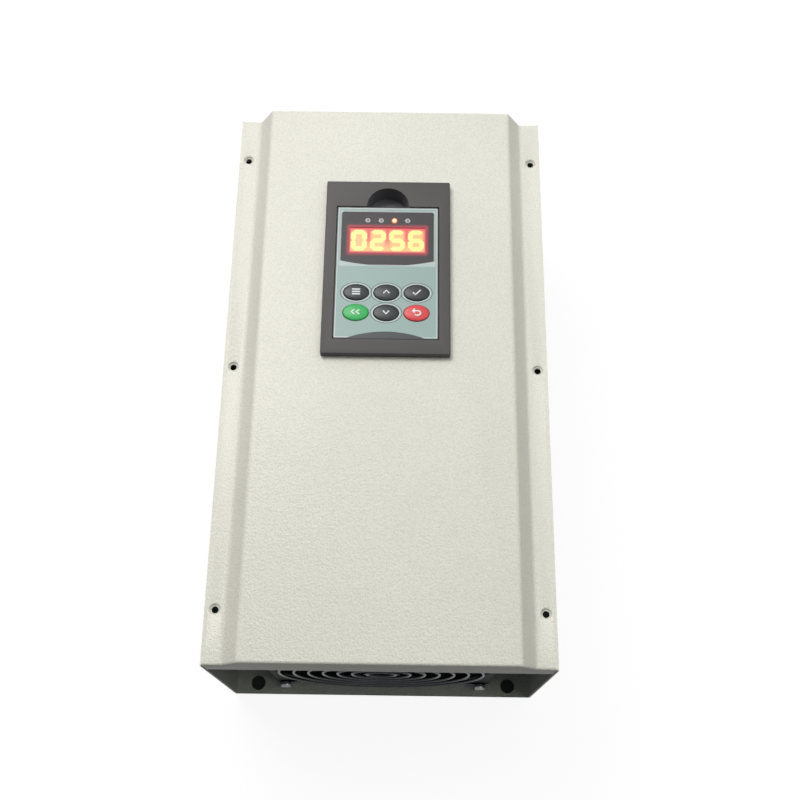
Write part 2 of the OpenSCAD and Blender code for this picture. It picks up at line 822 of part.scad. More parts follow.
module control_terminals() {
    plug = [50, 10, 12];
    plug_inset = 1;
    way_count = 10;
    way_pitch = 5;
    way_r = 1.6;
    plug_y = control_y - control_size[1] / 2 + plug_inset + plug[1] / 2;
    color([0.14, 0.45, 0.24]) translate([0, plug_y, control_top])
        difference() {
            block(plug[0], plug[1], plug[2]);
            for (i = [0:way_count - 1]) translate([(i - (way_count - 1) / 2) * way_pitch, 0, plug[2] - way_r])
                cylinder(r = way_r, h = way_r + cut, $fn = 24);
        }
}

ribbon_t = 1;
ribbon_w = 20;
ribbon_steps = 16;
ribbon_start = [socket_y, tray_bottom];
ribbon_end = [header_y, control_top + header_size[2]];

function ribbon_point(i, side) = [
    ribbon_start[0] + (ribbon_end[0] - ribbon_start[0]) * (1 - cos(180 * i / ribbon_steps)) / 2
        + side * ribbon_t / 2,
    ribbon_start[1] + (ribbon_end[1] - ribbon_start[1]) * i / ribbon_steps];

module keypad_ribbon() {
    color([0.70, 0.70, 0.72]) translate([-ribbon_w / 2, 0, 0]) rotate(90, [0, 0, 1]) rotate(90, x_axis)
        linear_extrude(ribbon_w) polygon(concat(
            [for (i = [0:ribbon_steps]) ribbon_point(i, 1)],
            [for (i = [ribbon_steps:-1:0]) ribbon_point(i, -1)]));
}

// Keypad tray, held in the cover's cut-out

module keypad_tray() {
    body_w = tray_w - 2 * tray_flange_over - 2 * fit;
    body_h = tray_h - 2 * tray_flange_over - 2 * fit;
    pocket_w = pad_w + 2 * fit;
    pocket_h = pad_h + 2 * fit;
    color([0.42, 0.41, 0.41]) difference() {
        union() {
            translate([0, tray_mid_y, face_z]) linear_extrude(tray_face_h) rounded(tray_w, tray_h, tray_r);
            translate([0, tray_mid_y, tray_bottom]) block(body_w, body_h, face_z - tray_bottom + cut);
        }
        translate([0, pad_mid_y, tray_floor_top]) block(pocket_w, pocket_h, tray_z);
        translate([0, pad_y + pad_h + fit, tray_z - notch_depth]) cylinder(r = notch_r, h = notch_depth + cut);
        translate([0, socket_y, tray_bottom - cut])
            block(plug_size[0] + 2 * socket_wall, plug_size[1] + 2 * socket_wall, tray_floor_t + 2 * cut);
    }
}

module keypad_socket() {
    color([0.85, 0.84, 0.80]) translate([0, socket_y, tray_bottom]) difference() {
        block(plug_size[0] + 2 * socket_wall, plug_size[1] + 2 * socket_wall, tray_floor_t);
        translate([0, 0, tray_floor_t - plug_drop - 2 * fit])
            block(plug_size[0] + 2 * fit, plug_size[1] + 2 * fit, tray_floor_t);
    }
}

// Keypad module

key_centres = [
    [-key_pitch_x, key_row_y + key_pitch_y], [0, key_row_y + key_pitch_y], [key_pitch_x, key_row_y + key_pitch_y],
    [-key_pitch_x, key_row_y], [0, key_row_y], [key_pitch_x, key_row_y]];

module at_keys(z) {
    for (p = key_centres) translate([p[0], pad_y + p[1], z]) children();
}

module key_holes(z, h) {
    at_keys(z - cut) linear_extrude(h + 2 * cut) oval(key_w + 2 * key_clear, key_h + 2 * key_clear);
}

module window_outline(inset) {
    bow_r = (pow(window_w / 2, 2) + pow(window_bow, 2)) / (2 * window_bow);
    tall = window_high_y - window_low_y;
    intersection() {
        translate([0, pad_y + window_low_y + tall / 2]) union() {
            rounded(window_w - 2 * inset, tall - 2 * inset, window_corner_r);
            translate([0, -window_corner_r]) square([window_w - 2 * inset, tall - 2 * window_corner_r], center = true);
        }
        translate([0, pad_y + window_low_y + bow_r]) circle(r = bow_r - inset, $fn = 180);
    }
}

lamp_count = 4;
lamp_places = [for (i = [0:lamp_count - 1]) [(i - (lamp_count - 1) / 2) * lamp_pitch, pad_y + lamp_y]];

module lamp(i) {
    translate([lamp_places[i][0], lamp_places[i][1], pad_board_top]) {
        cylinder(d = lamp_d, h = lamp_top - pad_board_top, $fn = 32);
        cylinder(d = lamp_d + lamp_collar, h = lamp_collar, $fn = 32);
    }
}

module keypad_housing() {
    inner_w = pad_w - 2 * housing_wall;
    inner_h = pad_h - 2 * housing_wall;
    wall_z = pad_bottom + pad_back_t;
    color([0.34, 0.36, 0.37]) difference() {
        translate([0, pad_mid_y, wall_z]) linear_extrude(housing_top - wall_z) rounded(pad_w, pad_h, pad_r);
        translate([0, pad_mid_y, wall_z - cut])
            block(inner_w, inner_h, housing_top - housing_roof_t - wall_z + cut);
        key_holes(housing_top - housing_roof_t, housing_roof_t);
        translate([0, pad_y + display_y, housing_top - housing_roof_t - cut])
            block(display_w + 2 * window_clear, display_h + 2 * window_clear, housing_roof_t + 2 * cut);
        for (p = lamp_places) translate([p[0], p[1], housing_top - housing_roof_t - cut])
            cylinder(d = lamp_d + 2 * lamp_clear, h = housing_roof_t + 2 * cut, $fn = 32);
    }
}

module keypad_back() {
    boss_r = 3;
    color([0.30, 0.31, 0.32]) difference() {
        union() {
            translate([0, pad_mid_y, pad_bottom]) linear_extrude(pad_back_t) rounded(pad_w, pad_h, pad_r);
            for (sx = [-1, 1], sy = [-1, 1])
                translate([sx * (pad_w / 2 - 2 * boss_r), pad_mid_y + sy * (pad_h / 2 - 2 * boss_r), pad_bottom])
                    cylinder(r = boss_r, h = pad_board_z - pad_bottom);
        }
        translate([0, socket_y, pad_bottom - cut])
            block(plug_size[0] + 2 * window_clear, plug_size[1] + 2 * window_clear, pad_back_t + 2 * cut);
    }
}

module keypad_board() {
    color([0.10, 0.36, 0.20]) {
        translate([0, pad_mid_y, pad_board_z])
            block(pad_w - 2 * housing_wall - 2 * fit, pad_h - 2 * housing_wall - 2 * fit, board_t);
        translate([0, socket_y, pad_bottom - plug_drop])
            block(plug_size[0], plug_size[1], pad_board_z - pad_bottom + plug_drop + cut);
    }
}

module key_switches() {
    color([0.15, 0.15, 0.16]) at_keys(pad_board_top) {
        block(switch_body, switch_body, switch_body_h);
        cylinder(r = plunger_r, h = plunger_top - pad_board_top, $fn = 32);
    }
}

module keypad_faceplate() {
    color([0.66, 0.74, 0.72]) difference() {
        translate([0, pad_mid_y, housing_top]) linear_extrude(sheet_t) rounded(pad_w, pad_h, pad_r);
        translate([0, 0, housing_top - cut]) linear_extrude(sheet_t + 2 * cut) window_outline(0);
        key_holes(housing_top, sheet_t);
    }
}

module display_window() {
    color([0.30, 0.24, 0.26, 0.6]) translate([0, 0, housing_top])
        linear_extrude(sheet_t) window_outline(window_clear);
}

module led_display() {
    color([0.45, 0.08, 0.08]) translate([0, pad_y + display_y, pad_board_top])
        block(display_w, display_h, display_top - pad_board_top);
}

// Segment places in shares of a digit's half width and half height: x, y, lies across
segment_shares = [[0, 1, true], [1, 0.5, false], [1, -0.5, false], [0, -1, true], [-1, -0.5, false],
    [-1, 0.5, false], [0, 0, true]];
shown_digits = [[0, 1, 2, 3, 4, 5], [0, 1, 3, 4, 6], [0, 2, 3, 5, 6], [0, 2, 3, 4, 5, 6]];
digit_count = len(shown_digits);

module segment(length) {
    tip = segment_w / 2;
    polygon([[-length / 2, 0], [-length / 2 + tip, tip], [length / 2 - tip, tip],
        [length / 2, 0], [length / 2 - tip, -tip], [-length / 2 + tip, -tip]]);
}

module digit(segments) {
    reach_x = (digit_w - segment_w) / 2;
    reach_y = (digit_h - segment_w) / 2;
    for (i = segments) {
        s = segment_shares[i];
        length = s[2] ? 2 * reach_x - 2 * segment_gap : reach_y - 2 * segment_gap;
        translate([s[0] * reach_x, s[1] * reach_y]) rotate(s[2] ? 0 : 90) segment(length);
    }
}

module lit_segments() {
    color([1.0, 0.78, 0.30]) translate([0, pad_y + display_y, display_top]) linear_extrude(segment_t)
        for (i = [0:digit_count - 1]) translate([(i - (digit_count - 1) / 2) * digit_pitch, 0])
            digit(shown_digits[i]);
}

module indicator_lamps() {
    color([0.62, 0.60, 0.62]) for (i = [0, 1, 3]) lamp(i);
}

module indicator_lamp_lit() {
    color([1.0, 0.62, 0.30]) lamp(2);
}

// A key is an arched oval cap with a flange that the housing's roof holds, and a stem above its switch
module key(index) {
    p = key_centres[index];
    cap_top = pad_top + key_proud;
    stem_bottom = plunger_top + key_travel + switch_top_gap;
    translate([p[0], pad_y + p[1], 0]) {
        intersection() {
            translate([0, 0, key_flange_top - key_flange_t])
                linear_extrude(cap_top - key_flange_top + key_flange_t) oval(key_w, key_h);
            translate([0, 0, cap_top - key_dome_r]) rotate(90, x_axis)
                cylinder(r = key_dome_r, h = 2 * key_h, center = true, $fn = 180);
        }
        translate([0, 0, key_flange_top - key_flange_t]) linear_extrude(key_flange_t)
            oval(key_w + 2 * key_flange_over, key_h + 2 * key_flange_over);
        translate([0, 0, stem_bottom]) cylinder(r = key_stem_r, h = key_flange_top - stem_bottom, $fn = 32);
    }
}

chassis();
front_cover();
bottom_end_panel();
top_end_panel();
grommet(-1);  // cable_grommet_left
grommet(1);  // cable_grommet_right
earth_stud();
fan_frame();
fan_stator();
fan_bearings();
fan_rotor();
fan_guard();
fan_screws();
fan_lead();
heat_sink();
heat_sink_screws();
transistor_module(0);  // transistor_module_1
transistor_module(1);  // transistor_module_2
rectifier_module();
thermostat();
module_screws();
power_board();
power_board_posts();
bus_capacitor(0);  // bus_capacitor_1
bus_capacitor(1);  // bus_capacitor_2
bus_capacitor(2);  // bus_capacitor_3
bus_capacitor(3);  // bus_capacitor_4
resonant_capacitor(-1);  // resonant_capacitor_1
resonant_capacitor(1);  // resonant_capacitor_2
current_sensor();
output_busbars();
start_relay();
start_resistor();
terminal_block();
terminal_screws();
filter_choke();
control_board();
control_board_posts();
control_chips();
control_terminals();
keypad_ribbon();
keypad_tray();
keypad_socket();
keypad_housing();
keypad_back();
keypad_faceplate();
display_window();
led_display();
lit_segments();
indicator_lamps();
indicator_lamp_lit();
keypad_board();
key_switches();
key(0);  // key_program
key(1);  // key_up
key(2);  // key_enter
key(3);  // key_shift
key(4);  // key_down
key(5);  // key_back
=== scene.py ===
import json
import math

import bpy
from bpy.props import FloatProperty, FloatVectorProperty, IntProperty, PointerProperty
from mathutils import Matrix, Vector


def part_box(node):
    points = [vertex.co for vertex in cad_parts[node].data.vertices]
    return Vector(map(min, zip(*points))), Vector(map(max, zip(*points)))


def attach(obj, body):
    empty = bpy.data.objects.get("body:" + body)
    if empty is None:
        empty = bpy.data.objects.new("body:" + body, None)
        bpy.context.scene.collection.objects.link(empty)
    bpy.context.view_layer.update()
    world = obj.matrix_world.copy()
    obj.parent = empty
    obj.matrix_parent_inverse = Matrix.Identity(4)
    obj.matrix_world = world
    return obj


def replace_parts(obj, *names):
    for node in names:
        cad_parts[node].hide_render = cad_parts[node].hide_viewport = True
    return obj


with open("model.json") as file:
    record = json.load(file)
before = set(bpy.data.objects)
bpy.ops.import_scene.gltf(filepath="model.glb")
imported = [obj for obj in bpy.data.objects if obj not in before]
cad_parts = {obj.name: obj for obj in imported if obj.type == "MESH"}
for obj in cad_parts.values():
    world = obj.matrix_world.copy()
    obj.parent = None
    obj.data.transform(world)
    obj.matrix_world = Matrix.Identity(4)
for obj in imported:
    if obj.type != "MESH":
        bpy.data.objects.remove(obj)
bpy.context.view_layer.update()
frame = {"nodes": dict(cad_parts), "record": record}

bl_info = {
    "name": "Induction Heating Machine",
    "version": (1, 0, 0),
    "blender": (4, 5, 0),
    "location": "View3D > Sidebar > Machine",
    "description": "Dresses a wall-mounted induction heating machine in folded painted steel",
    "category": "Object",
}

MM = 0.001


# Sizes and colours that a user may change


def linear(red, green, blue):
    """A display colour from 0 to 255, as Blender's linear colour."""
    shares = [value / 255 for value in (red, green, blue)]
    return tuple(s / 12.92 if s <= 0.04045 else ((s + 0.055) / 1.055) ** 2.4 for s in shares)


def size_of(name, text, millimetres):
    return FloatProperty(name=name, description=text, default=millimetres * MM, min=0.0,
                         subtype="DISTANCE", unit="LENGTH")


def angle_of(name, text, degrees):
    return FloatProperty(name=name, description=text, default=math.radians(degrees), subtype="ANGLE")


def colour_of(name, text, red, green, blue):
    return FloatVectorProperty(name=name, description=text, default=linear(red, green, blue), size=3,
                               min=0.0, max=1.0, subtype="COLOR")


class MachineSizes(bpy.types.PropertyGroup):
    cover_sheet: size_of("Cover sheet", "Thickness of the cover's sheet steel", 1.2)
    chassis_sheet: size_of("Chassis sheet", "Thickness of the chassis' sheet steel", 1.5)
    cover_step: size_of("Cover step", "Height of the raised centre above the side flanges", 13.5)
    flange_width: size_of("Flange width", "Width of each flat side flange", 13.5)
    slope_run: size_of("Slope run", "Sideways run of each slope", 9)
    lip_inset: size_of("Lip inset", "Distance of the end lips from the sides of the case", 1.8)
    fold: size_of("Fold", "Length of sheet that each fold takes up", 2.0)
    cover_hole: size_of("Cover hole", "Diameter of the holes in the flanges", 6)
    dimple: size_of("Dimple", "Width of the sunk rim round each hole in the flanges", 1.1)
    tapped_hole: size_of("Tapped hole", "Diameter of the tapped holes behind them", 4.2)
    cover_hole_in: size_of("Cover hole inset", "Distance of the holes from the sides", 6.3)
    cover_hole_end: size_of("Cover hole end", "Distance of the end holes from the ends", 33)
    chassis_return: size_of("Chassis return", "Width of the chassis edges turned in", 12)
    chassis_gap: size_of("Chassis gap", "Distance of the turned-in edges from the ends", 1.5)
    wall_hole: size_of("Wall hole", "Diameter of the mounting holes", 10)
    wall_hole_in: size_of("Wall hole inset", "Distance of the mounting holes from the sides", 16)
    wall_hole_end: size_of("Wall hole end", "Distance of the mounting holes from the ends", 7.6)
    tray_flange: size_of("Tray flange", "Height of the tray's flange above the cover", 5)
    tray_reach: size_of("Tray flange reach", "Reach of the tray's flange over the cover", 3.7)
    tray_corner: size_of("Tray corner", "Rounding of the tray's upright corners", 1.0)
    tray_edge: size_of("Tray edge", "Rounding of the tray's outer edges", 0.7)
    pad_gap: size_of("Keypad gap", "Gap round the keypad module", 0.3)
    notch_radius: size_of("Notch radius", "Radius of the half-moon finger notch", 14)
    notch_depth: size_of("Notch depth", "Depth of the finger notch", 14)
    key_width: size_of("Key width", "Width of an oval key", 16.6)
    key_height: size_of("Key depth", "Height of an oval key", 11.6)
    key_stem: size_of("Key stem", "Radius of the stem behind a key", 2.4)
    mark_width: size_of("Mark width", "Line width of the marks on the keys", 1.0)
    lamp: size_of("Lamp", "Diameter of an indicator lamp", 3.4)
    lamp_gap: size_of("Lamp gap", "Gap round an indicator lamp in the film", 0.2)
    lamp_collar: size_of("Lamp collar", "Height of the collar behind an indicator lamp", 0.4)
    digit_growth: size_of("Digit growth", "Widening of the lit segments by their glare", 0.55)
    fan_pitch: size_of("Fan screw pitch", "Distance between the fan's screws", 137)
    hub_radius: size_of("Hub radius", "Radius of the fan wheel's hub", 33)
    blade_count: IntProperty(name="Blades", description="Number of fan blades", default=7, min=3)
    blade_bow: size_of("Blade bow", "Radius of a blade's bowed section at the hub", 72)
    blade_wall: size_of("Blade wall", "Thickness of a fan blade", 1.8)
    blade_root_tilt: angle_of("Blade root tilt", "Tilt of a blade out of the fan's plane at the hub", 54)
    blade_tip_tilt: angle_of("Blade tip tilt", "Tilt of a blade out of the fan's plane at its tip", 35)


class MachineColours(bpy.types.PropertyGroup):
    cover: colour_of("Cover", "Powder coat of the cover", 232, 229, 220)
    case: colour_of("Case", "Powder coat of the chassis and the end panels", 206, 208, 200)
    tray: colour_of("Tray", "Moulded keypad tray", 76, 73, 74)
    # painted shade: a flat tone that stands in for the shading inside the finger notch and the pocket
    notch: colour_of("Notch", "Shaded inside of the finger notch", 118, 116, 123)
    sheet: colour_of("Face sheet", "Printed face of the keypad", 150, 173, 170)
    key_rim: colour_of("Key rim", "Pale rim round the dark keys", 206, 216, 217)
    line: colour_of("Line", "Pale line round the window and the face sheet", 208, 214, 216)
    ink: colour_of("Ink", "Printed outlines and the arc", 48, 52, 60)
    # partly the dark housing edge, partly painted shade of the gap round the face sheet
    edge: colour_of("Edge", "Dark edge of the face sheet", 30, 32, 36)
    window: colour_of("Window", "Tinted film round the display", 50, 44, 48)
    key_dark: colour_of("Dark key", "Dark keys", 34, 40, 42)
    key_green: colour_of("Green key", "Green key", 46, 178, 88)
    key_red: colour_of("Red key", "Red key", 222, 66, 72)
    mark: colour_of("Mark", "Marks on the keys", 232, 236, 238)
    digits: colour_of("Digits", "Lit digits", 255, 243, 148)
    display: colour_of("Display", "Glowing ground behind the digits", 226, 92, 96)
    # painted glare of the digits on the display ground
    warm: colour_of("Warm display", "Display ground close to the digits", 255, 214, 138)
    glare: colour_of("Glare", "Red glare of the display on the film", 176, 40, 56)
    lamp: colour_of("Lamp", "Lit indicator lamp", 250, 150, 96)
    lamp_core: colour_of("Lamp core", "Middle of the lit indicator lamp", 255, 226, 188)
    clear_lamp: colour_of("Clear lamp", "Indicator lamps that aren't lit", 206, 200, 206)
    clear_lamp_core: colour_of("Clear lamp core", "Middle of the lamps that aren't lit", 104, 98, 104)
    floor: colour_of("Floor", "Studio floor as the camera sees it", 240, 240, 242)
    # also the colour of the painted shadow under the machine
    floor_bounce: colour_of("Floor bounce", "Studio floor as it lights the machine", 52, 53, 53)


# Places read from the frame


class Extent:
    """The box that a node of the frame fills at rest."""

    def __init__(self, node):
        self.low, self.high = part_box(node)
        self.middle = (self.low + self.high) / 2
        self.half = (self.high - self.low) / 2


COVER = Extent("front_cover")
CHASSIS = Extent("chassis")
TRAY = Extent("keypad_tray")
SOCKET = Extent("keypad_socket")
PAD = Extent("keypad_faceplate")
PAD_BACK = Extent("keypad_back")
WINDOW = Extent("display_window")
DISPLAY = Extent("led_display")
DIGITS = Extent("lit_segments")
LAMPS = Extent("indicator_lamps")
LIT_LAMP = Extent("indicator_lamp_lit")
FAN = Extent("fan_frame")
ROTOR = Extent("fan_rotor")
SCREWS = Extent("fan_screws")
PANEL = Extent("bottom_end_panel")
KEY_NODES = ("key_program", "key_up", "key_enter", "key_shift", "key_down", "key_back")
KEYS = {node: Extent(node) for node in KEY_NODES}
RIMMED_KEYS = ("key_program", "key_up", "key_enter", "key_down")
LAMP_COUNT = 4
LIT_LAMP_INDEX = 2


def slot_of(node):
    """The record's material slot of a frame node."""
    for row in frame["record"]["subparts"]:
        if row["node"] == node:
            return row["material_slot"]
    raise RuntimeError("no material slot is recorded for " + node)


def body_of(node):
    """The body that a frame node rides on."""
    for body, nodes in frame["record"]["behaviour"]["bodies"].items():
        if node in nodes:
            return body
    raise RuntimeError("no body is recorded for " + node)


def lamp_places():
    """The middles of the indicator lamps, left to right."""
    step = 2 * (LAMPS.half.x - LIT_LAMP.half.x) / (LAMP_COUNT - 1)
    return [(LIT_LAMP.middle.x + (index - LIT_LAMP_INDEX) * step, LIT_LAMP.middle.y)
            for index in range(LAMP_COUNT)]


# Hand tools


# How far the sharp edges of each piece are rounded
EDGES = {
    "cover": 0.22 * MM,
    "chassis": 0.2 * MM,
    "tray": 0.25 * MM,
    "film": 0.06 * MM,
    "fan_frame": 0.8 * MM,
    "hub": 0.9 * MM,
    "blade": 0.45 * MM,
    "nut": 0.3 * MM,
    "grommet": 0.8 * MM,
    "housing": 0.25 * MM,
}


def rest_hands():
    """Leaves edit mode with nothing selected."""
    if bpy.context.object and bpy.context.object.mode != "OBJECT":
        bpy.ops.object.mode_set(mode="OBJECT")
    bpy.ops.object.select_all(action="DESELECT")


def hold(*pieces):
    """Selects just these pieces, the first one active."""
    rest_hands()
    for piece in pieces:
        piece.select_set(True)
    bpy.context.view_layer.objects.active = pieces[0]


def settle(name):
    """Puts the new object's place into its mesh and names it."""
    bpy.ops.object.transform_apply(location=True, rotation=True, scale=True)
    piece = bpy.context.object
    piece.name = name
    piece.data.name = name
    return piece


def sheet(name, low, high, z):
    """A flat sheet between two corners."""
    rest_hands()
    bpy.ops.mesh.primitive_plane_add(size=1, location=((low.x + high.x) / 2, (low.y + high.y) / 2, z))
    bpy.context.object.scale = (high.x - low.x, high.y - low.y, 1)
    return settle(name)


def block(name, low, high):
    """A squared block between two corners."""
    rest_hands()
    low, high = Vector(low), Vector(high)
    bpy.ops.mesh.primitive_cube_add(size=1, location=(low + high) / 2)
    bpy.context.object.scale = high - low
    return settle(name)


def turned(name, start, end, radius, sides=64):
    """A round bar from one point to another."""
    rest_hands()
    start, end = Vector(start), Vector(end)
    bpy.ops.mesh.primitive_cylinder_add(vertices=sides, radius=radius, depth=(end - start).length,
                                        location=(start + end) / 2)
    bpy.context.object.rotation_mode = "QUATERNION"
    bpy.context.object.rotation_quaternion = (end - start).to_track_quat("Z", "Y")
    return settle(name)


def pick(piece, kind, test):
    """Opens a piece in edit mode with the vertices, edges or faces selected that pass a test.
    A vertex is tested by its place, an edge by its middle and direction, a face by its middle and normal."""
    hold(piece)
    bpy.ops.object.mode_set(mode="EDIT")
    bpy.ops.mesh.select_mode(type=kind)
    bpy.ops.mesh.select_all(action="DESELECT")
    bpy.ops.object.mode_set(mode="OBJECT")
    mesh = piece.data
    if kind == "VERT":
        for vertex in mesh.vertices:
            vertex.select = test(vertex.co)
    elif kind == "EDGE":
        for edge in mesh.edges:
            a, b = (mesh.vertices[i].co for i in edge.vertices)
            edge.select = test((a + b) / 2, (b - a).normalized())
    else:
        for face in mesh.polygons:
            face.select = test(face.center, face.normal)
    bpy.ops.object.mode_set(mode="EDIT")


def pick_all(piece):
    pick(piece, "FACE", lambda mid, normal: True)


def pull(x=0.0, y=0.0, z=0.0):
    """Extrudes what is selected and moves it."""
    bpy.ops.mesh.extrude_region_move(TRANSFORM_OT_translate={"value": (x, y, z)})


def shift(way):
    bpy.ops.transform.translate(value=way)


def resize(x, y, z, centre):
    bpy.ops.transform.resize(value=(x, y, z), center_override=centre)


def bevel(width, segments, **settings):
    """Rounds the selected edges."""
    bpy.ops.mesh.bevel(offset=width, segments=segments, affect="EDGES", **settings)


def dome(centre, way, steps):
    """Draws the selected face out into a dome along an axis: each step has a share of width and a rise."""
    for share, rise in steps:
        pull()
        resize(*(1 if part else share for part in way), centre)
        shift(Vector(way) * rise)


def near(a, b, gap=0.05 * MM):
    return abs(a - b) < gap


def press(piece, kind, **settings):
    """Adds a modifier and applies it."""
    hold(piece)
    modifier = piece.modifiers.new(kind.title(), kind)
    for key, value in settings.items():
        setattr(modifier, key, value)
    bpy.ops.object.modifier_apply(modifier=modifier.name)
    return piece


def carve(piece, *cutters, operation="DIFFERENCE", solver="EXACT"):
    """Cuts pieces that don't touch each other out of a piece, or keeps what it shares with them."""
    cutter = weld("cutter", *cutters)
    press(piece, "BOOLEAN", operation=operation, object=cutter, solver=solver)
    bpy.data.objects.remove(cutter)
    return piece


def drill(piece, places, radius, low_z, high_z, sides=48):
    """Cuts upright round holes."""
    return carve(piece, *(turned("drill", (x, y, low_z), (x, y, high_z), radius, sides) for x, y in places))


def thicken(sheet_piece, thickness, largest_looks_up):
    """Turns all faces of a folded sheet to one side and gives it its thickness behind them."""
    pick_all(sheet_piece)
    bpy.ops.mesh.normals_make_consistent(inside=False)
    rest_hands()
    largest = max(sheet_piece.data.polygons, key=lambda face: face.area)
    if (largest.normal.z > 0) != largest_looks_up:
        pick_all(sheet_piece)
        bpy.ops.mesh.flip_normals()
    press(sheet_piece, "SOLIDIFY", thickness=thickness, offset=-1.0, use_even_offset=True)


def smooth(piece, angle=40):
    hold(piece)
    bpy.ops.object.shade_smooth_by_angle(angle=math.radians(angle))
    return piece


def soften(piece, width, segments=2, angle=50):
    """Rounds the sharp edges, with flat faces kept flat in the light."""
    smooth(piece, angle)
    return press(piece, "BEVEL", width=width, segments=segments, limit_method="ANGLE",
                 angle_limit=math.radians(angle), harden_normals=True, use_clamp_overlap=True)


def weld(name, *pieces):
    """Joins separate solids into one object."""
    hold(*pieces)
    if len(pieces) > 1:
        bpy.ops.object.join()
    joined = bpy.context.object
    joined.name = name
    joined.data.name = name
    return joined


def copied(piece, turn):
    """A copy of a piece with its own mesh, moved or turned into its place."""
    rest_hands()
    copy = piece.copy()
    copy.data = piece.data.copy()
    bpy.context.scene.collection.objects.link(copy)
    hold(copy)
    copy.matrix_world = turn
    bpy.ops.object.transform_apply(location=True, rotation=True, scale=True)
    return copy


def copied_to(piece, spots):
    """The piece, made at the first spot, and a copy at each further spot."""
    first = Vector(spots[0])
    return [piece] + [copied(piece, Matrix.Translation(Vector(spot) - first)) for spot in spots[1:]]


def traced(node, name):
    """A merged copy of a frame node, ready for edge work."""
    rest_hands()
    piece = frame["nodes"][node].copy()
    piece.data = frame["nodes"][node].data.copy()
    piece.parent = None
    for key in list(piece.keys()):
        del piece[key]
    piece.name = name
    piece.data.name = name
    bpy.context.scene.collection.objects.link(piece)
    hold(piece)
    bpy.ops.mesh.customdata_custom_splitnormals_clear()
    bpy.ops.object.mode_set(mode="EDIT")
    bpy.ops.mesh.select_all(action="SELECT")
    bpy.ops.mesh.remove_doubles(threshold=0.002 * MM)
    bpy.ops.mesh.dissolve_limited(angle_limit=math.radians(0.5))
    bpy.ops.object.mode_set(mode="OBJECT")
    return piece


def dress(piece, node, finish_name=""):
    """Gives a piece the body and slot of a node, and the named finish or else the node's own."""
    rest_hands()
    piece.data.materials.clear()
    piece.data.materials.append(finish(finish_name or slot_of(node)))
    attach(piece, body_of(node))
    return piece


def stand_in(piece, node):
    """Dresses a piece like a node and lets it stand for the node."""
    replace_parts(dress(piece, node), node)


# Shader nodes


def shade(colour, share):
    """A colour made darker or lighter."""
    return tuple(min(1.0, value * share) for value in colour)


class Shop:
    """Lays shader nodes into one tree."""

    def __init__(self, tree):
        self.tree = tree

    def add(self, kind, **settings):
        """A node; a setting that starts with in_ is the value of an input, by its number or its name."""
        node = self.tree.nodes.new(kind)
        for key, value in settings.items():
            if key.startswith("in_"):
                label = key[3:]
                node.inputs[int(label) if label.isdigit() else label].default_value = value
            else:
                setattr(node, key, value)
        return node

    def join(self, source, target):
        self.tree.links.new(source, target)

    def feed(self, value, socket):
        """Sets a socket to a number or a linear colour, or links it."""
        if isinstance(value, bpy.types.NodeSocket):
            self.join(value, socket)
        elif isinstance(value, (int, float)):
            socket.default_value = value
        else:
            socket.default_value = (*value, 1.0)

    def math(self, operation, *values):
        node = self.add("ShaderNodeMath", operation=operation)
        for socket, value in zip(node.inputs, values):
            self.feed(value, socket)
        return node.outputs[0]

    def fold(self, operation, values):
        """Joins several values into one, two by two."""
        result = values[0]
        for value in values[1:]:
            result = self.math(operation, result, value)
        return result

    def mix(self, share, a, b):
        """A colour mix; each colour is a linear colour or a socket."""
        node = self.add("ShaderNodeMix", data_type="RGBA")
        for value, index in ((share, 0), (a, 6), (b, 7)):
            self.feed(value, node.inputs[index])
        return node.outputs[2]

    def ramp(self, value, low, high, to_low=0.0, to_high=1.0, smoothly=False):
        node = self.add("ShaderNodeMapRange", in_1=low, in_2=high, in_3=to_low, in_4=to_high)
        if smoothly:
            node.interpolation_type = "SMOOTHSTEP"
        self.join(value, node.inputs[0])
        return node.outputs[0]

    def fade(self, distance, inner, outer, strength=1.0, smoothly=False):
        """Full strength up to an inner distance, and nothing from an outer one."""
        return self.ramp(distance, inner, outer, strength, 0.0, smoothly)

    def noise(self, vector, scale, detail, roughness):
        node = self.add("ShaderNodeTexNoise", in_Detail=detail, in_Roughness=roughness)
        self.join(vector, node.inputs["Vector"])
        self.feed(scale, node.inputs["Scale"])
        return node.outputs[0]

    def split(self, vector):
        """The x, y and z of a point."""
        parts = self.add("ShaderNodeSeparateXYZ")
        self.join(vector, parts.inputs[0])
        return parts.outputs

    def effect(self, name, vector, **values):
        """Places a shared effect and feeds it the point that it works on."""
        node = self.add("ShaderNodeGroup", node_tree=effect_tree(name))
        self.join(vector, node.inputs["Vector"])
        for key, value in values.items():
            node.inputs[key.replace("_", " ").capitalize()].default_value = value
        return node.outputs

    def oval(self, point, centre, half_width, half_height):
        """The distance from a middle as a share of an oval's half widths."""
        return self.effect("oval", point, centre=centre, half_width=half_width,
                           half_height=half_height)["Distance"]

    def box(self, point, centre, half_width, half_height):
        """The distances outside and inside a rectangle."""
        return self.effect("box", point, centre=centre, half_width=half_width, half_height=half_height)

    def box_of(self, point, extent, margin=0.0):
        """The distances outside and inside a node's outline, with a margin left off all round."""
        return self.box(point, extent.middle, extent.half.x - margin, extent.half.y - margin)


EFFECTS = {}
NOISE_LOW, NOISE_HIGH = 0.3, 0.7


def effect_tree(name):
    """The named shared effect, made when it is first asked for."""
    makers = {"grain": grain_effect, "peel": peel_effect, "oval": oval_effect, "box": box_effect}
    if name not in EFFECTS:
        EFFECTS[name] = makers[name]()
    return EFFECTS[name]


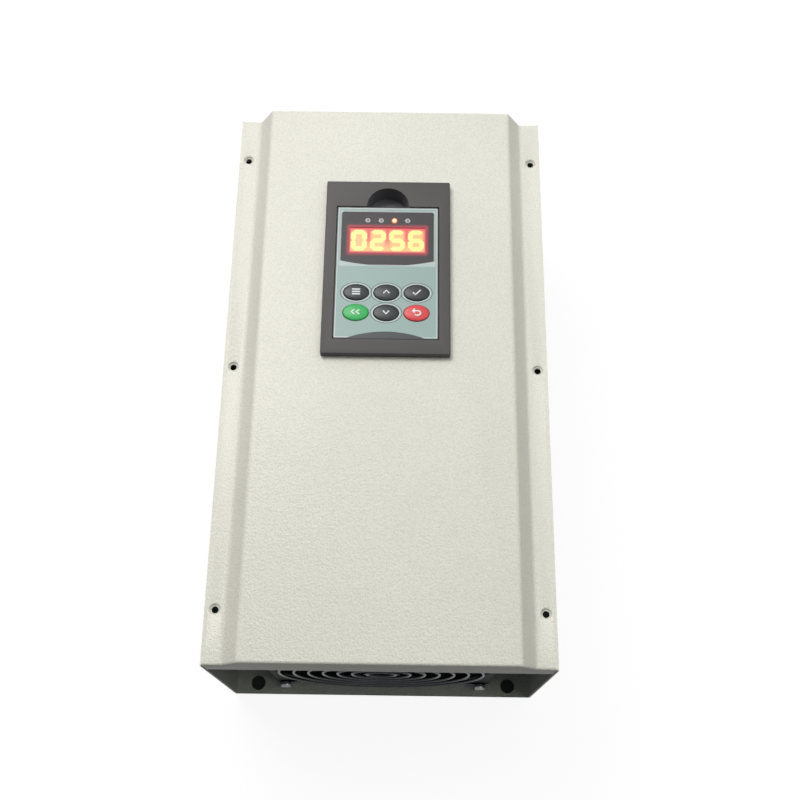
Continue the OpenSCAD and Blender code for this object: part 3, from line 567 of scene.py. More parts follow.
def new_effect(name, inputs, outputs):
    """A node group that works on a point: its tree, its shop, and its inputs and outputs by name."""
    tree = bpy.data.node_groups.new(name, "ShaderNodeTree")
    for label, kind, value in [("Vector", "Vector", None), *inputs]:
        socket = tree.interface.new_socket(name=label, in_out="INPUT", socket_type="NodeSocket" + kind)
        if value is not None:
            socket.default_value = value
    for label in outputs:
        tree.interface.new_socket(name=label, in_out="OUTPUT", socket_type="NodeSocketFloat")
    shop = Shop(tree)
    return tree, shop, shop.add("NodeGroupInput").outputs, shop.add("NodeGroupOutput").inputs


def grain_effect():
    """Fine bumps of a painted or moulded surface, with a slow drift of tone."""
    tree, shop, given, result = new_effect(
        "surface grain", [("Grain", "Float", 700.0), ("Drift", "Float", 12.0)], ["Height", "Tone"])
    shop.join(shop.noise(given["Vector"], given["Grain"], 2.0, 0.55), result["Height"])
    shop.join(shop.noise(given["Vector"], given["Drift"], 3.0, 0.6), result["Tone"])
    return tree


def peel_effect():
    """The dimpled skin of baked powder coat: broad cells with finer wrinkles between them."""
    tree, shop, given, result = new_effect(
        "powder coat skin", [("Cells", "Float", 620.0)], ["Height", "Spots"])
    cells = shop.add("ShaderNodeTexVoronoi", feature="SMOOTH_F1", in_Smoothness=0.6)
    shop.join(given["Vector"], cells.inputs["Vector"])
    shop.join(given["Cells"], cells.inputs["Scale"])
    wrinkles = shop.noise(given["Vector"], shop.math("MULTIPLY", given["Cells"], 1.7), 3.0, 0.6)
    broad = shop.math("MULTIPLY", cells.outputs["Distance"], 0.6)
    shop.join(shop.math("ADD", broad, wrinkles), result["Height"])
    shop.join(wrinkles, result["Spots"])
    return tree


def centred_effect(name, outputs):
    """A new effect that knows a centre and two half widths, and the x and y of a point from that centre."""
    tree, shop, given, result = new_effect(
        name, [("Centre", "Vector", None), ("Half width", "Float", 1.0), ("Half height", "Float", 1.0)],
        outputs)
    offset = shop.add("ShaderNodeVectorMath", operation="SUBTRACT")
    shop.join(given["Vector"], offset.inputs[0])
    shop.join(given["Centre"], offset.inputs[1])
    x, y = shop.split(offset.outputs[0])[:2]
    return tree, shop, result, ((x, given["Half width"]), (y, given["Half height"]))


def oval_effect():
    """How far a point lies from the middle of an oval, as a share of the oval's half widths."""
    tree, shop, result, sides = centred_effect("oval distance", ["Distance"])
    shares = [shop.math("DIVIDE", side, half) for side, half in sides]
    squares = [shop.math("MULTIPLY", share, share) for share in shares]
    shop.join(shop.math("SQRT", shop.math("ADD", *squares)), result["Distance"])
    return tree


def box_effect():
    """Distances outside and inside a rectangle, in metres."""
    tree, shop, result, sides = centred_effect("rectangle distance", ["Outside", "Inside"])
    gaps = [shop.math("SUBTRACT", shop.math("ABSOLUTE", side), half) for side, half in sides]
    over = [shop.math("MAXIMUM", gap, 0.0) for gap in gaps]
    squares = [shop.math("MULTIPLY", past, past) for past in over]
    shop.join(shop.math("SQRT", shop.math("ADD", *squares)), result["Outside"])
    shop.join(shop.math("MULTIPLY", shop.math("MAXIMUM", *gaps), -1.0), result["Inside"])
    return tree


# Finishes


FINISHES = {}


def finish(name):
    """The named finish, made when it is first asked for."""
    if name not in FINISHES:
        FINISHES[name] = make_finish(name)
    return FINISHES[name]


def make_finish(name):
    colours = bpy.context.scene.machine_colours
    if name in PLAIN:
        return plain_finish(name, **PLAIN[name])
    makers = {
        "cover_paint": lambda: paint_finish(name, colours.cover, 0.34),
        "case_paint": lambda: paint_finish(name, colours.case, 0.5),
        "tray_black": lambda: tray_finish(name, colours),
        "face_sheet": lambda: sheet_finish(name, colours),
        "tinted_window": lambda: window_finish(name, colours),
        "display_red": lambda: display_finish(name, colours),
        "digit_glow": lambda: glow_finish(name, colours.digits),
        "lamp_orange": lambda: lamp_finish(name, colours.lamp_core, colours.lamp, 1.0),
        # painted light: the lamps that aren't lit still glow faintly
        "lamp_clear": lambda: lamp_finish(name, colours.clear_lamp_core, colours.clear_lamp, 0.15),
        "key_mark": lambda: plain_finish(name, colours.mark, 0.45, drift=0.02),
        "key_dark": lambda: key_finish(name, colours.key_dark),
        "key_green": lambda: key_finish(name, colours.key_green),
        "key_red": lambda: key_finish(name, colours.key_red),
    }
    return makers[name]()


PLAIN = {
    "black_rubber": dict(colour=linear(38, 38, 40), roughness=0.72, grain=1400.0, depth=0.02 * MM),
    "brass_parts": dict(colour=linear(196, 168, 104), roughness=0.32, metallic=1.0),
    "fan_black": dict(colour=linear(34, 36, 38), roughness=0.6, grain=1800.0, depth=0.015 * MM, shine=0.2),
    "rotor_black": dict(colour=linear(34, 35, 37), roughness=0.36, grain=1800.0, depth=0.006 * MM),
    "copper": dict(colour=linear(184, 112, 66), roughness=0.35, metallic=1.0, drift=0.15),
    "bronze": dict(colour=linear(172, 132, 78), roughness=0.4, metallic=1.0),
    "chrome_wire": dict(colour=linear(62, 65, 67), roughness=0.14, metallic=1.0, drift=0.1),
    "zinc_screws": dict(colour=linear(172, 175, 178), roughness=0.3, metallic=1.0),
    "lead_black": dict(colour=linear(36, 36, 38), roughness=0.5),
    "bare_aluminium": dict(colour=linear(176, 178, 182), roughness=0.42, metallic=1.0, grain=2500.0),
    "module_black": dict(colour=linear(44, 46, 50), roughness=0.5, grain=2000.0, depth=0.02 * MM),
    "board_green": dict(colour=linear(26, 92, 52), roughness=0.38, coat=0.3, drift=0.14),
    "board_blue": dict(colour=linear(28, 76, 110), roughness=0.38, coat=0.3, drift=0.14),
    "can_sleeve": dict(colour=linear(34, 44, 84), roughness=0.34, coat=0.2),
    "film_case": dict(colour=linear(216, 214, 202), roughness=0.5),
    "sensor_blue": dict(colour=linear(36, 42, 84), roughness=0.45),
    "terminal_green": dict(colour=linear(40, 118, 64), roughness=0.45),
    "ribbon_grey": dict(colour=linear(170, 170, 174), roughness=0.55),
    "housing_grey": dict(colour=linear(70, 74, 78), roughness=0.5, grain=2200.0, depth=0.02 * MM),
}


class Finish(Shop):
    """A material in the making, with the sockets of its shader and the point in Object coordinates."""

    def __init__(self, name):
        self.material = bpy.data.materials.new(name)
        self.material.use_nodes = True
        super().__init__(self.material.node_tree)
        self.sockets = self.tree.nodes["Principled BSDF"].inputs
        self.point = self.add("ShaderNodeTexCoord").outputs["Object"]

    def set(self, **values):
        """Feeds sockets of the shader, named with underscores for spaces."""
        for key, value in values.items():
            self.feed(value, self.sockets[key.replace("_", " ")])

    def skin(self, **values):
        """The shared grain: the height of its bumps and a tone that drifts from 0 to 1."""
        grain = self.effect("grain", self.point, **values)
        return grain["Height"], self.ramp(grain["Tone"], NOISE_LOW, NOISE_HIGH)

    def drifting(self, tone, colour, darkest, lightest):
        """A colour that drifts with a tone between a darker and a lighter share of itself."""
        return self.mix(tone, shade(colour, darkest), shade(colour, lightest))

    def bump(self, height, depth):
        node = self.add("ShaderNodeBump", in_Strength=1.0, in_Distance=depth)
        self.join(height, node.inputs["Height"])
        self.join(node.outputs[0], self.sockets["Normal"])


def plain_finish(name, colour, roughness, metallic=0.0, grain=900.0, depth=0.01 * MM, drift=0.08, coat=0.0,
                 spread=0.08, shine=0.5):
    """A moulded, cast or plated finish: fine grain, a slow drift of tone and uneven gloss."""
    made = Finish(name)
    height, tone = made.skin(grain=grain)
    made.set(Base_Color=made.drifting(tone, colour, 1 - drift, 1 + drift),
             Roughness=made.ramp(tone, 0.0, 1.0, roughness - spread / 2, roughness + spread / 2),
             Metallic=metallic, Specular_IOR_Level=shine, Coat_Weight=coat)
    made.bump(height, depth)
    return made.material


def paint_finish(name, colour, roughness, spread=0.12, depth=0.28 * MM):
    """Baked powder coat: orange-peel skin, faint specks and a slow drift of tone."""
    made = Finish(name)
    skin = made.effect("peel", made.point)
    height, tone = made.skin(grain=1500.0, drift=9.0)
    specks = made.fade(skin["Spots"], 0.36, 0.56, 0.42)
    ground = made.drifting(tone, colour, 0.965, 1.02)
    made.set(Base_Color=made.mix(specks, ground, shade(colour, 0.72)),
             Roughness=made.ramp(height, NOISE_LOW, NOISE_HIGH,
                                 roughness - spread / 2, roughness + spread / 2))
    made.bump(skin["Height"], depth)
    return made.material


def tray_finish(name, colours):
    """Grained moulded plastic, with a flat painted shade inside the finger notch and the pocket."""
    made = Finish(name)
    height, tone = made.skin(grain=1100.0, drift=14.0)
    # painted shade: surfaces below the flange top inside the tray's outline take the notch colour
    below = made.fade(made.split(made.point)[2], TRAY.high.z - 1.0 * MM, TRAY.high.z - 0.3 * MM)
    inside = made.box_of(made.point, TRAY, margin=2 * MM)["Outside"]
    painted_recess_shade = made.math("MULTIPLY", below, made.math("LESS_THAN", inside, 0.01 * MM))
    made.set(Base_Color=made.mix(painted_recess_shade, made.drifting(tone, colours.tray, 0.93, 1.05), colours.notch),
             Roughness=0.55)
    made.bump(height, 0.04 * MM)
    return made.material


def lamp_finish(name, core, rim, strength):
    """A lamp lens: a core colour fading to the rim colour, glowing at the given strength; the lamps that
    aren't lit keep a faint painted glow.
    """
    made = Finish(name)
    radius = bpy.context.scene.machine_sizes.lamp / 2
    distance = made.fold("MINIMUM", [made.oval(made.point, (x, y, 0), radius, radius)
                                     for x, y in lamp_places()])
    colour = made.mix(made.ramp(distance, 0.35, 0.8), core, rim)
    made.set(Base_Color=colour, Emission_Color=colour, Emission_Strength=strength, Roughness=0.3)
    return made.material


def glow_finish(name, colour):
    """A lit segment, with a slight drift of its light."""
    made = Finish(name)
    tone = made.skin(grain=400.0, drift=160.0)[1]
    made.set(Base_Color=(0.02, 0.02, 0.02), Roughness=0.3,
             Emission_Color=made.drifting(tone, colour, 0.94, 1.0), Emission_Strength=1.0)
    return made.material


def display_finish(name, colours, digit_count=4, pitch=12.6 * MM):
    """The display's glowing ground: red, with painted glare from the digits that makes it warmer close round
    each digit, most towards the lower edge.
    """
    made = Finish(name)
    digit_half = (3.6 * MM, 6.2 * MM)
    halo = 2.6 * MM
    # painted glare: the ground turns warmer close round each digit
    warm = []
    for index in range(digit_count):
        x = DIGITS.middle.x + (index - (digit_count - 1) / 2) * pitch
        spot = made.box(made.point, (x, DIGITS.middle.y, DISPLAY.middle.z), *digit_half)["Outside"]
        warm.append(made.fade(spot, 0.0, halo, smoothly=True))
    round_digits = made.math("MULTIPLY", made.fold("MAXIMUM", warm), 0.75)
    y = made.split(made.point)[1]
    low_edge = made.fade(y, DISPLAY.low.y, DISPLAY.middle.y + 4 * MM, 0.8, smoothly=True)
    beside = made.fade(made.box_of(made.point, DIGITS)["Outside"], 0.0, 1.4 * MM, smoothly=True)
    painted_glare_share = made.math("MAXIMUM", round_digits, made.math("MULTIPLY", low_edge, beside))
    made.set(Base_Color=(0.05, 0.01, 0.01), Roughness=0.35,
             Emission_Color=made.mix(painted_glare_share, colours.display, colours.warm), Emission_Strength=1.0)
    return made.material


def window_finish(name, colours):
    """Tinted film with the display's and the lit lamp's red glare on it."""
    made = Finish(name)
    tone = made.skin(grain=2000.0, drift=30.0)[1]
    film = made.drifting(tone, colours.window, 0.94, 1.0)
    border = made.fade(made.box_of(made.point, WINDOW)["Inside"], 0.35 * MM, 0.65 * MM, 0.8)
    display = made.fade(made.box_of(made.point, DISPLAY)["Outside"], 0.0, 3.0 * MM, 0.85, smoothly=True)
    lamp_reach = 3.2 * MM
    lamp = made.fade(made.oval(made.point, LIT_LAMP.middle, lamp_reach, lamp_reach), 0.4, 1.0, 0.6,
                     smoothly=True)
    glare = made.mix(made.math("MAXIMUM", display, lamp), (0.0, 0.0, 0.0), colours.glare)
    made.set(Base_Color=made.mix(border, film, colours.line), Roughness=0.45,
             Emission_Color=glare, Emission_Strength=1.0)
    return made.material


def sheet_finish(name, colours):
    """The printed face sheet: outlined keys, a dark arc and a pale edge line, with a dark line along its
    edge that is partly the dark housing edge and partly painted shade of the gap round the sheet.
    """
    made = Finish(name)
    point = made.point
    height, tone = made.skin(grain=2600.0, drift=20.0)
    face = made.drifting(tone, colours.sheet, 0.97, 1.02)
    for node in RIMMED_KEYS:
        face = key_outline(made, face, KEYS[node].middle, colours)
    edge = made.box_of(point, PAD)["Inside"]
    arc_chord, arc_rise, arc_foot = 49 * MM, 4.4 * MM, 0.8 * MM
    arc_radius = (arc_chord ** 2 / 4 + arc_rise ** 2) / (2 * arc_rise)
    arc_middle = (PAD.middle.x, PAD.low.y + arc_foot + arc_rise - arc_radius, PAD.high.z)
    arc = made.oval(point, arc_middle, arc_radius, arc_radius)
    window = made.box_of(point, WINDOW)["Outside"]
    prints = (
        (edge, 1.3 * MM, 1.6 * MM, 0.75, colours.line),
        (arc, 0.998, 1.002, 1.0, colours.ink),
        # dark edge line: partly the dark housing edge, partly painted shade of the gap round the sheet
        (edge, 0.6 * MM, 0.85 * MM, 1.0, colours.edge),
        (window, 0.35 * MM, 0.65 * MM, 0.5, colours.line),
    )
    for distance, inner, outer, strength, colour in prints:
        face = made.mix(made.fade(distance, inner, outer, strength), face, colour)
    made.set(Base_Color=face, Roughness=0.38)
    made.bump(height, 0.004 * MM)
    return made.material


def key_outline(made, face, middle, colours):
    """Prints a pale ring close round a key and a fine dark outline round the ring."""
    sizes = bpy.context.scene.machine_sizes
    half_width, half_height = sizes.key_width / 2, sizes.key_height / 2
    ring = made.oval(made.point, middle, half_width + 1.0 * MM, half_height + 0.8 * MM)
    face = made.mix(made.fade(ring, 0.98, 1.03, 0.85), face, colours.key_rim)
    outline = made.oval(made.point, middle, half_width + 1.9 * MM, half_height + 1.4 * MM)
    gap = made.math("ABSOLUTE", made.math("SUBTRACT", outline, 1.0))
    return made.mix(made.fade(gap, 0.016, 0.036, 0.75), face, colours.ink)


def key_finish(name, colour):
    """A domed key, with painted shade making it darker towards its rim."""
    sizes = bpy.context.scene.machine_sizes
    made = Finish(name)
    tone = made.skin(grain=2200.0, drift=60.0)[1]
    rim = made.fold("MINIMUM", [made.oval(made.point, key.middle, sizes.key_width / 2, sizes.key_height / 2)
                                for node, key in KEYS.items() if slot_of(node) == name])
    # painted shade: each key darkens towards its rim, like a dome lit from above
    painted_rim_shade = made.ramp(rim, 0.80, 1.0, 0.0, 0.35, smoothly=True)
    ground = made.drifting(tone, colour, 0.92, 1.05)
    made.set(Base_Color=made.mix(painted_rim_shade, ground, shade(colour, 0.5)), Roughness=0.42, Coat_Weight=0.1)
    return made.material


class MACHINE_OT_finishes(bpy.types.Operator):
    """Gives every piece of the frame its own finish"""
    bl_idname = "machine.finishes"
    bl_label = "Finishes"

    def execute(self, context):
        for node, piece in frame["nodes"].items():
            piece.data.materials.clear()
            piece.data.materials.append(finish(slot_of(node)))
        return {"FINISHED"}


# Stage


CAMERA_PLACE = (11.9 * MM, -270.9 * MM, 791.4 * MM)
CAMERA_FORWARD = (-0.0031, 0.3622, -0.9321)
CAMERA_RIGHT = (0.9999, 0.0136, 0.002)
CAMERA_FOCUS_PIXELS = 1074.06
PHOTO_PIXELS = 800
STUDIO_LAMPS = (
    ("key_lamp", (-0.66, 0.9, 1.95), 1.1, 26.5, (1.0, 0.975, 0.955)),
    ("fill_lamp", (0.95, -0.05, 1.85), 1.3, 7.0, (0.95, 1.0, 0.96)),
)
ROOM_COLOUR = (0.95, 1.0, 0.96)
ROOM_DARK_WAY, ROOM_BRIGHT_WAY = -0.3, 0.4
ROOM_DARK, ROOM_BRIGHT = 0.06, 0.7
MIRRORED_ROOM = 0.42
FLOOR_GLOW = 1.06
FLOOR_GLOW_SHARE = 0.86


def seen_by_eye(shop):
    """One for rays from the camera or through glass to it, less for rays off a glossy surface."""
    path = shop.add("ShaderNodeLightPath").outputs
    glossy = shop.math("MULTIPLY", path["Is Glossy Ray"], MIRRORED_ROOM)
    return shop.fold("MAXIMUM", [path["Is Camera Ray"], path["Is Transmission Ray"], glossy])


class MACHINE_OT_stage(bpy.types.Operator):
    """Sets up the pale floor, the soft lamps and the camera"""
    bl_idname = "machine.stage"
    bl_label = "Stage"

    def execute(self, context):
        scene = context.scene
        scene.view_settings.view_transform = "Standard"
        self.make_floor(scene.machine_colours)
        self.make_world(scene)
        for lamp in STUDIO_LAMPS:
            self.make_lamp(*lamp)
        self.make_camera(scene)
        return {"FINISHED"}

    def make_floor(self, colours):
        """A floor that the eye sees pale and glowing, with a painted shadow under the machine in the dark
        bounce colour.
        """
        rest_hands()
        bpy.ops.mesh.primitive_plane_add(size=8)
        floor = settle("studio_floor")
        made = Finish("studio_floor")
        rim = 2 * MM
        # painted shadow: under the machine's footprint the eye sees the dark bounce colour, also through the
        # mounting holes
        outside = made.ramp(made.box_of(made.point, CHASSIS, margin=rim)["Outside"], 0.0, rim)
        seen_floor = made.math("MULTIPLY", seen_by_eye(made), outside)
        made.set(Roughness=0.9, Base_Color=made.mix(seen_floor, colours.floor_bounce, colours.floor))
        mixer = made.add("ShaderNodeMixShader")
        made.join(made.math("MULTIPLY", seen_floor, FLOOR_GLOW_SHARE), mixer.inputs[0])
        made.join(made.tree.nodes["Principled BSDF"].outputs[0], mixer.inputs[1])
        made.join(made.add("ShaderNodeEmission", in_Strength=FLOOR_GLOW).outputs[0], mixer.inputs[2])
        made.join(mixer.outputs[0], made.tree.nodes["Material Output"].inputs["Surface"])
        floor.data.materials.append(made.material)

    def make_world(self, scene):
        """White to the eye; the room's own light comes from beyond the machine's upper end."""
        scene.world = bpy.data.worlds.new("studio")
        scene.world.use_nodes = True
        shop = Shop(scene.world.node_tree)
        backdrop = shop.tree.nodes["Background"].inputs
        eye = seen_by_eye(shop)
        shop.join(shop.mix(eye, ROOM_COLOUR, (1.0, 1.0, 1.0)), backdrop["Color"])
        way = shop.split(shop.add("ShaderNodeTexCoord").outputs["Generated"])
        room = shop.ramp(way[1], ROOM_DARK_WAY, ROOM_BRIGHT_WAY, ROOM_DARK, ROOM_BRIGHT, smoothly=True)
        shop.join(shop.math("MAXIMUM", eye, room), backdrop["Strength"])

    def make_lamp(self, name, where, width, watts, colour):
        rest_hands()
        bpy.ops.object.light_add(type="AREA", location=where)
        lamp = bpy.context.object
        lamp.name = name
        lamp.data.size = width
        lamp.data.energy = watts
        lamp.data.color = colour
        lamp.rotation_mode = "QUATERNION"
        lamp.rotation_quaternion = (-Vector(where)).to_track_quat("-Z", "Y")

    def make_camera(self, scene):
        rest_hands()
        bpy.ops.object.camera_add()
        camera = bpy.context.object
        camera.name = "photo_camera"
        forward = Vector(CAMERA_FORWARD).normalized()
        up = Vector(CAMERA_RIGHT).cross(forward).normalized()
        turn = Matrix((forward.cross(up), up, -forward)).transposed()
        camera.matrix_world = Matrix.Translation(CAMERA_PLACE) @ turn.to_4x4()
        camera.data.sensor_width = 36.0
        camera.data.lens = CAMERA_FOCUS_PIXELS / PHOTO_PIXELS * camera.data.sensor_width
        camera.data.clip_start = 0.01
        scene.camera = camera


# Case


def hole_places(inset, end, extent, middle=True):
    """The middles of a row of holes down each side of the case."""
    rows = [extent.low.y + end, extent.high.y - end] + ([extent.middle.y] if middle else [])
    return [(x, y) for x in (extent.low.x + inset, extent.high.x - inset) for y in rows]


class MACHINE_OT_cover(bpy.types.Operator):
    """Folds the sheet-steel front cover, with its slopes, end lips, holes and cut-out"""
    bl_idname = "machine.cover"
    bl_label = "Front cover"

    def execute(self, context):
        sizes = context.scene.machine_sizes
        low, high = COVER.low, COVER.high
        slope_foot = high.x - sizes.flange_width
        raised = slope_foot - sizes.slope_run
        lip_half = high.x - sizes.lip_inset
        flange_z = high.z - sizes.cover_step
        cover = sheet("painted_front_cover", Vector((-raised, low.y)), Vector((raised, high.y)), high.z)
        for side in (-1, 1):
            pick(cover, "EDGE", lambda mid, way: near(mid.x, side * raised) and abs(way.y) > 0.9)
            pull(x=side * sizes.slope_run, z=-sizes.cover_step)
            pull(x=side * (sizes.flange_width - sizes.lip_inset))
            pull(x=side * sizes.lip_inset)
        for end in (low.y, high.y):
            pick(cover, "EDGE", lambda mid, way: near(mid.y, end) and abs(mid.x) < lip_half)
            pull(z=-sizes.lip_inset)
            resize(1, 1, 0, (0, end, low.z))
        pick(cover, "EDGE", lambda mid, way: mid.z > low.z + MM and (
            (abs(way.y) > 0.9 and (near(abs(mid.x), raised) or near(abs(mid.x), slope_foot)))
            or (abs(way.y) < 0.1 and abs(way.z) < 0.9 and abs(mid.x) < lip_half)))
        bevel(sizes.fold, 4)
        thicken(cover, sizes.cover_sheet, largest_looks_up=True)
        corner = 0.3 * MM
        pick(cover, "EDGE", lambda mid, way: abs(way.z) > 0.9 and abs(mid.x) > high.x - corner
             and abs(mid.y) > high.y - corner)
        bevel(0.9 * sizes.lip_inset, 4)
        holes = hole_places(sizes.cover_hole_in, sizes.cover_hole_end, COVER)
        through = 4 * sizes.cover_sheet
        drill(cover, holes, sizes.cover_hole / 2, flange_z - through, flange_z + sizes.cover_sheet)
        pick(cover, "EDGE", lambda mid, way: near(mid.z, flange_z) and any(
            near(math.hypot(mid.x - x, mid.y - y), sizes.cover_hole / 2) for x, y in holes))
        bevel(sizes.dimple, 3)
        reach = sizes.tray_reach - sizes.pad_gap
        carve(cover, block("cut-out", (TRAY.low.x + reach, TRAY.low.y + reach, high.z - through),
                           (TRAY.high.x - reach, TRAY.high.y - reach, high.z + sizes.cover_sheet)))
        stand_in(soften(cover, EDGES["cover"]), "front_cover")
        return {"FINISHED"}


class MACHINE_OT_chassis(bpy.types.Operator):
    """Folds the chassis: its back, side walls and turned-in edges, with their holes"""
    bl_idname = "machine.chassis"
    bl_label = "Chassis"

    def execute(self, context):
        sizes = context.scene.machine_sizes
        low, high = CHASSIS.low, CHASSIS.high
        chassis = sheet("painted_chassis", low, high, low.z)
        for side in (-1, 1):
            pick(chassis, "EDGE", lambda mid, way: near(mid.x, side * high.x) and near(mid.z, low.z))
            pull(z=high.z - low.z)
            pull(x=-side * sizes.lip_inset)
            resize(1, 1 - sizes.chassis_gap / high.y, 1, (0, 0, 0))
            pull(x=-side * (sizes.chassis_return - sizes.lip_inset))
        pick(chassis, "EDGE", lambda mid, way: abs(way.y) > 0.9 and near(abs(mid.x), high.x))
        bevel(0.9 * sizes.fold, 4, clamp_overlap=True)
        thicken(chassis, sizes.chassis_sheet, largest_looks_up=False)
        through = 4 * sizes.chassis_sheet
        wall_holes = hole_places(sizes.wall_hole_in, sizes.wall_hole_end, CHASSIS, middle=False)
        drill(chassis, wall_holes, sizes.wall_hole / 2, low.z - MM, low.z + through)
        tapped = hole_places(sizes.cover_hole_in, sizes.cover_hole_end, CHASSIS)
        drill(chassis, tapped, sizes.tapped_hole / 2, high.z - through, high.z + MM)
        stand_in(soften(chassis, EDGES["chassis"]), "chassis")
        return {"FINISHED"}


# Keypad


class MACHINE_OT_tray(bpy.types.Operator):
    """Moulds the keypad tray, with its flange, pocket and half-moon notch"""
    bl_idname = "machine.tray"
    bl_label = "Keypad tray"

    def execute(self, context):
        sizes = context.scene.machine_sizes
        low, high = TRAY.low, TRAY.high
        gap = sizes.pad_gap
        flange_z = high.z - sizes.tray_flange
        tray = block("moulded_keypad_tray", (low.x, low.y, flange_z), high)
        pick(tray, "FACE", lambda mid, normal: near(mid.z, flange_z))
        bpy.ops.mesh.inset(thickness=sizes.tray_reach)
        pull(z=low.z - flange_z)
        pick(tray, "EDGE", lambda mid, way: abs(way.z) > 0.9)
        bevel(sizes.tray_corner, 4)
        pick(tray, "EDGE", lambda mid, way: near(mid.z, high.z))
        bevel(sizes.tray_edge, 3)
        floor_z = PAD_BACK.low.z - gap
        carve(tray, block("socket hole", (SOCKET.low.x, SOCKET.low.y, low.z - MM),
                          (SOCKET.high.x, SOCKET.high.y, floor_z + MM)))
        carve(tray, block("pocket", (PAD.low.x - gap, PAD.low.y - gap, floor_z),
                          (PAD.high.x + gap, PAD.high.y + gap, high.z + MM)))
        notch_y = PAD.high.y + gap
        carve(tray, turned("notch", (0, notch_y, high.z - sizes.notch_depth), (0, notch_y, high.z + MM),
                           sizes.notch_radius, 96))
        stand_in(soften(tray, EDGES["tray"]), "keypad_tray")
        return {"FINISHED"}


DIGIT_FLATNESS = 0.2
LENS_RIM = 0.1 * MM
COLLAR_GROWTH = 1.3
LENS_DOME = ((0.92, 0.18 * MM), (0.78, 0.16 * MM), (0.5, 0.12 * MM), (0.2, 0.04 * MM))


class MACHINE_OT_display(bpy.types.Operator):
    """Makes the tinted film, the glowing digits and the indicator lamps"""
    bl_idname = "machine.display"
    bl_label = "Display and lamps"

    def execute(self, context):
        sizes = context.scene.machine_sizes
        self.make_film(sizes)
        self.make_lamps(sizes)
        self.make_digits(sizes)
        return {"FINISHED"}

    def make_film(self, sizes):
        low_z, high_z = WINDOW.low.z - MM, WINDOW.high.z + MM
        film = traced("display_window", "window_film")
        carve(film, block("display opening", (DISPLAY.low.x, DISPLAY.low.y, low_z),
                          (DISPLAY.high.x, DISPLAY.high.y, high_z)))
        drill(film, lamp_places(), sizes.lamp / 2 + sizes.lamp_gap, low_z, high_z, 32)
        stand_in(soften(film, EDGES["film"]), "display_window")

    def make_lamps(self, sizes):
        """Four domed lenses on collars, the lit one an object of its own."""
        spots = [(x, y, 0) for x, y in lamp_places()]
        x, y, _ = spots[0]
        top = WINDOW.high.z + LENS_RIM
        collar = LIT_LAMP.low.z + sizes.lamp_collar
        lens = turned("lens", (x, y, collar), (x, y, top), sizes.lamp / 2, 32)
        pick(lens, "FACE", lambda mid, normal: normal.z > 0.9)
        dome((x, y, top), (0, 0, 1), LENS_DOME)
        pick(lens, "FACE", lambda mid, normal: near(mid.z, collar) and normal.z < -0.9)
        pull()
        resize(COLLAR_GROWTH, COLLAR_GROWTH, 1, (x, y, collar))
        pull(z=LIT_LAMP.low.z - collar)
        lenses = copied_to(smooth(lens), spots)
        lit = lenses.pop(LIT_LAMP_INDEX)
        stand_in(weld("unlit_lamp_lenses", *lenses), "indicator_lamps")
        stand_in(weld("lit_lamp_lens", lit), "indicator_lamp_lit")

    def make_digits(self, sizes):
        """The lit segments, widened by their glare and kept flat on the display."""
        digits = traced("lit_segments", "glowing_digits")
        pick_all(digits)
        bpy.ops.transform.shrink_fatten(value=sizes.digit_growth, use_even_offset=True)
        resize(1, 1, DIGIT_FLATNESS, (0, 0, DIGITS.low.z))
        rest_hands()
        lift = DIGITS.low.z - min(vertex.co.z for vertex in digits.data.vertices)
        pick_all(digits)
        shift((0, 0, lift))
        stand_in(smooth(digits, 30), "lit_segments")


# The marks' lines, in millimetres from the middle of their key
HOOK_TURNS = [math.radians(100 - 15 * step) for step in range(17)]
MARKS = {
    "key_program": (((-2.6, 1.7), (2.6, 1.7)), ((-2.6, 0), (2.6, 0)), ((-2.6, -1.7), (2.6, -1.7))),
    "key_up": (((-1.9, -1.0), (0, 1.2), (1.9, -1.0)),),
    "key_enter": (((-2.4, -0.1), (-0.7, -1.7), (2.6, 1.7)),),
    "key_shift": (((-0.7, 1.6), (-2.7, 0), (-0.7, -1.6)), ((2.4, 1.6), (0.4, 0), (2.4, -1.6))),
    "key_down": (((-1.9, 1.0), (0, -1.2), (1.9, 1.0)),),
    "key_back": (((-2.4, 1.22), *((0.55 + 2.0 * math.cos(turn), -0.35 + 1.6 * math.sin(turn))
                                  for turn in HOOK_TURNS)),
                 ((-1.1, 2.5), (-2.5, 1.22), (-1.1, -0.1))),
}


def stroke(points, middle, z, width):
    """A flat line of ink through points in millimetres round a middle, drawn as a curve and made a mesh."""
    rest_hands()
    bpy.ops.object.add(type="CURVE")
    curve = bpy.context.object.data
    curve.dimensions = "3D"
    curve.bevel_depth = width / 2
    curve.bevel_resolution = 2
    curve.use_fill_caps = True
    line = curve.splines.new("POLY")
    line.points.add(len(points) - 1)
    for point, (x, y) in zip(line.points, points):
        point.co = (middle.x + x * MM, middle.y + y * MM, 0, 1)
    bpy.ops.object.convert(target="MESH")
    bpy.ops.object.mode_set(mode="EDIT")
    bpy.ops.mesh.select_all(action="SELECT")
    bpy.ops.mesh.remove_doubles(threshold=0.01 * MM)
    bpy.ops.object.mode_set(mode="OBJECT")
    bpy.context.object.scale = (1, 1, PRINT_FLATNESS)
    bpy.context.object.location = (0, 0, z)
    return settle("stroke")


KEY_RIM_RISE = 0.25 * MM
KEY_FLANGE, KEY_FLANGE_DEPTH = 1.0 * MM, 2.5 * MM
KEY_RINGS, KEY_DOME_TURN, KEY_FLATNESS = 9, 85, 0.8
PRINT_LIFT = 0.02 * MM
PRINT_FLATNESS = 0.25


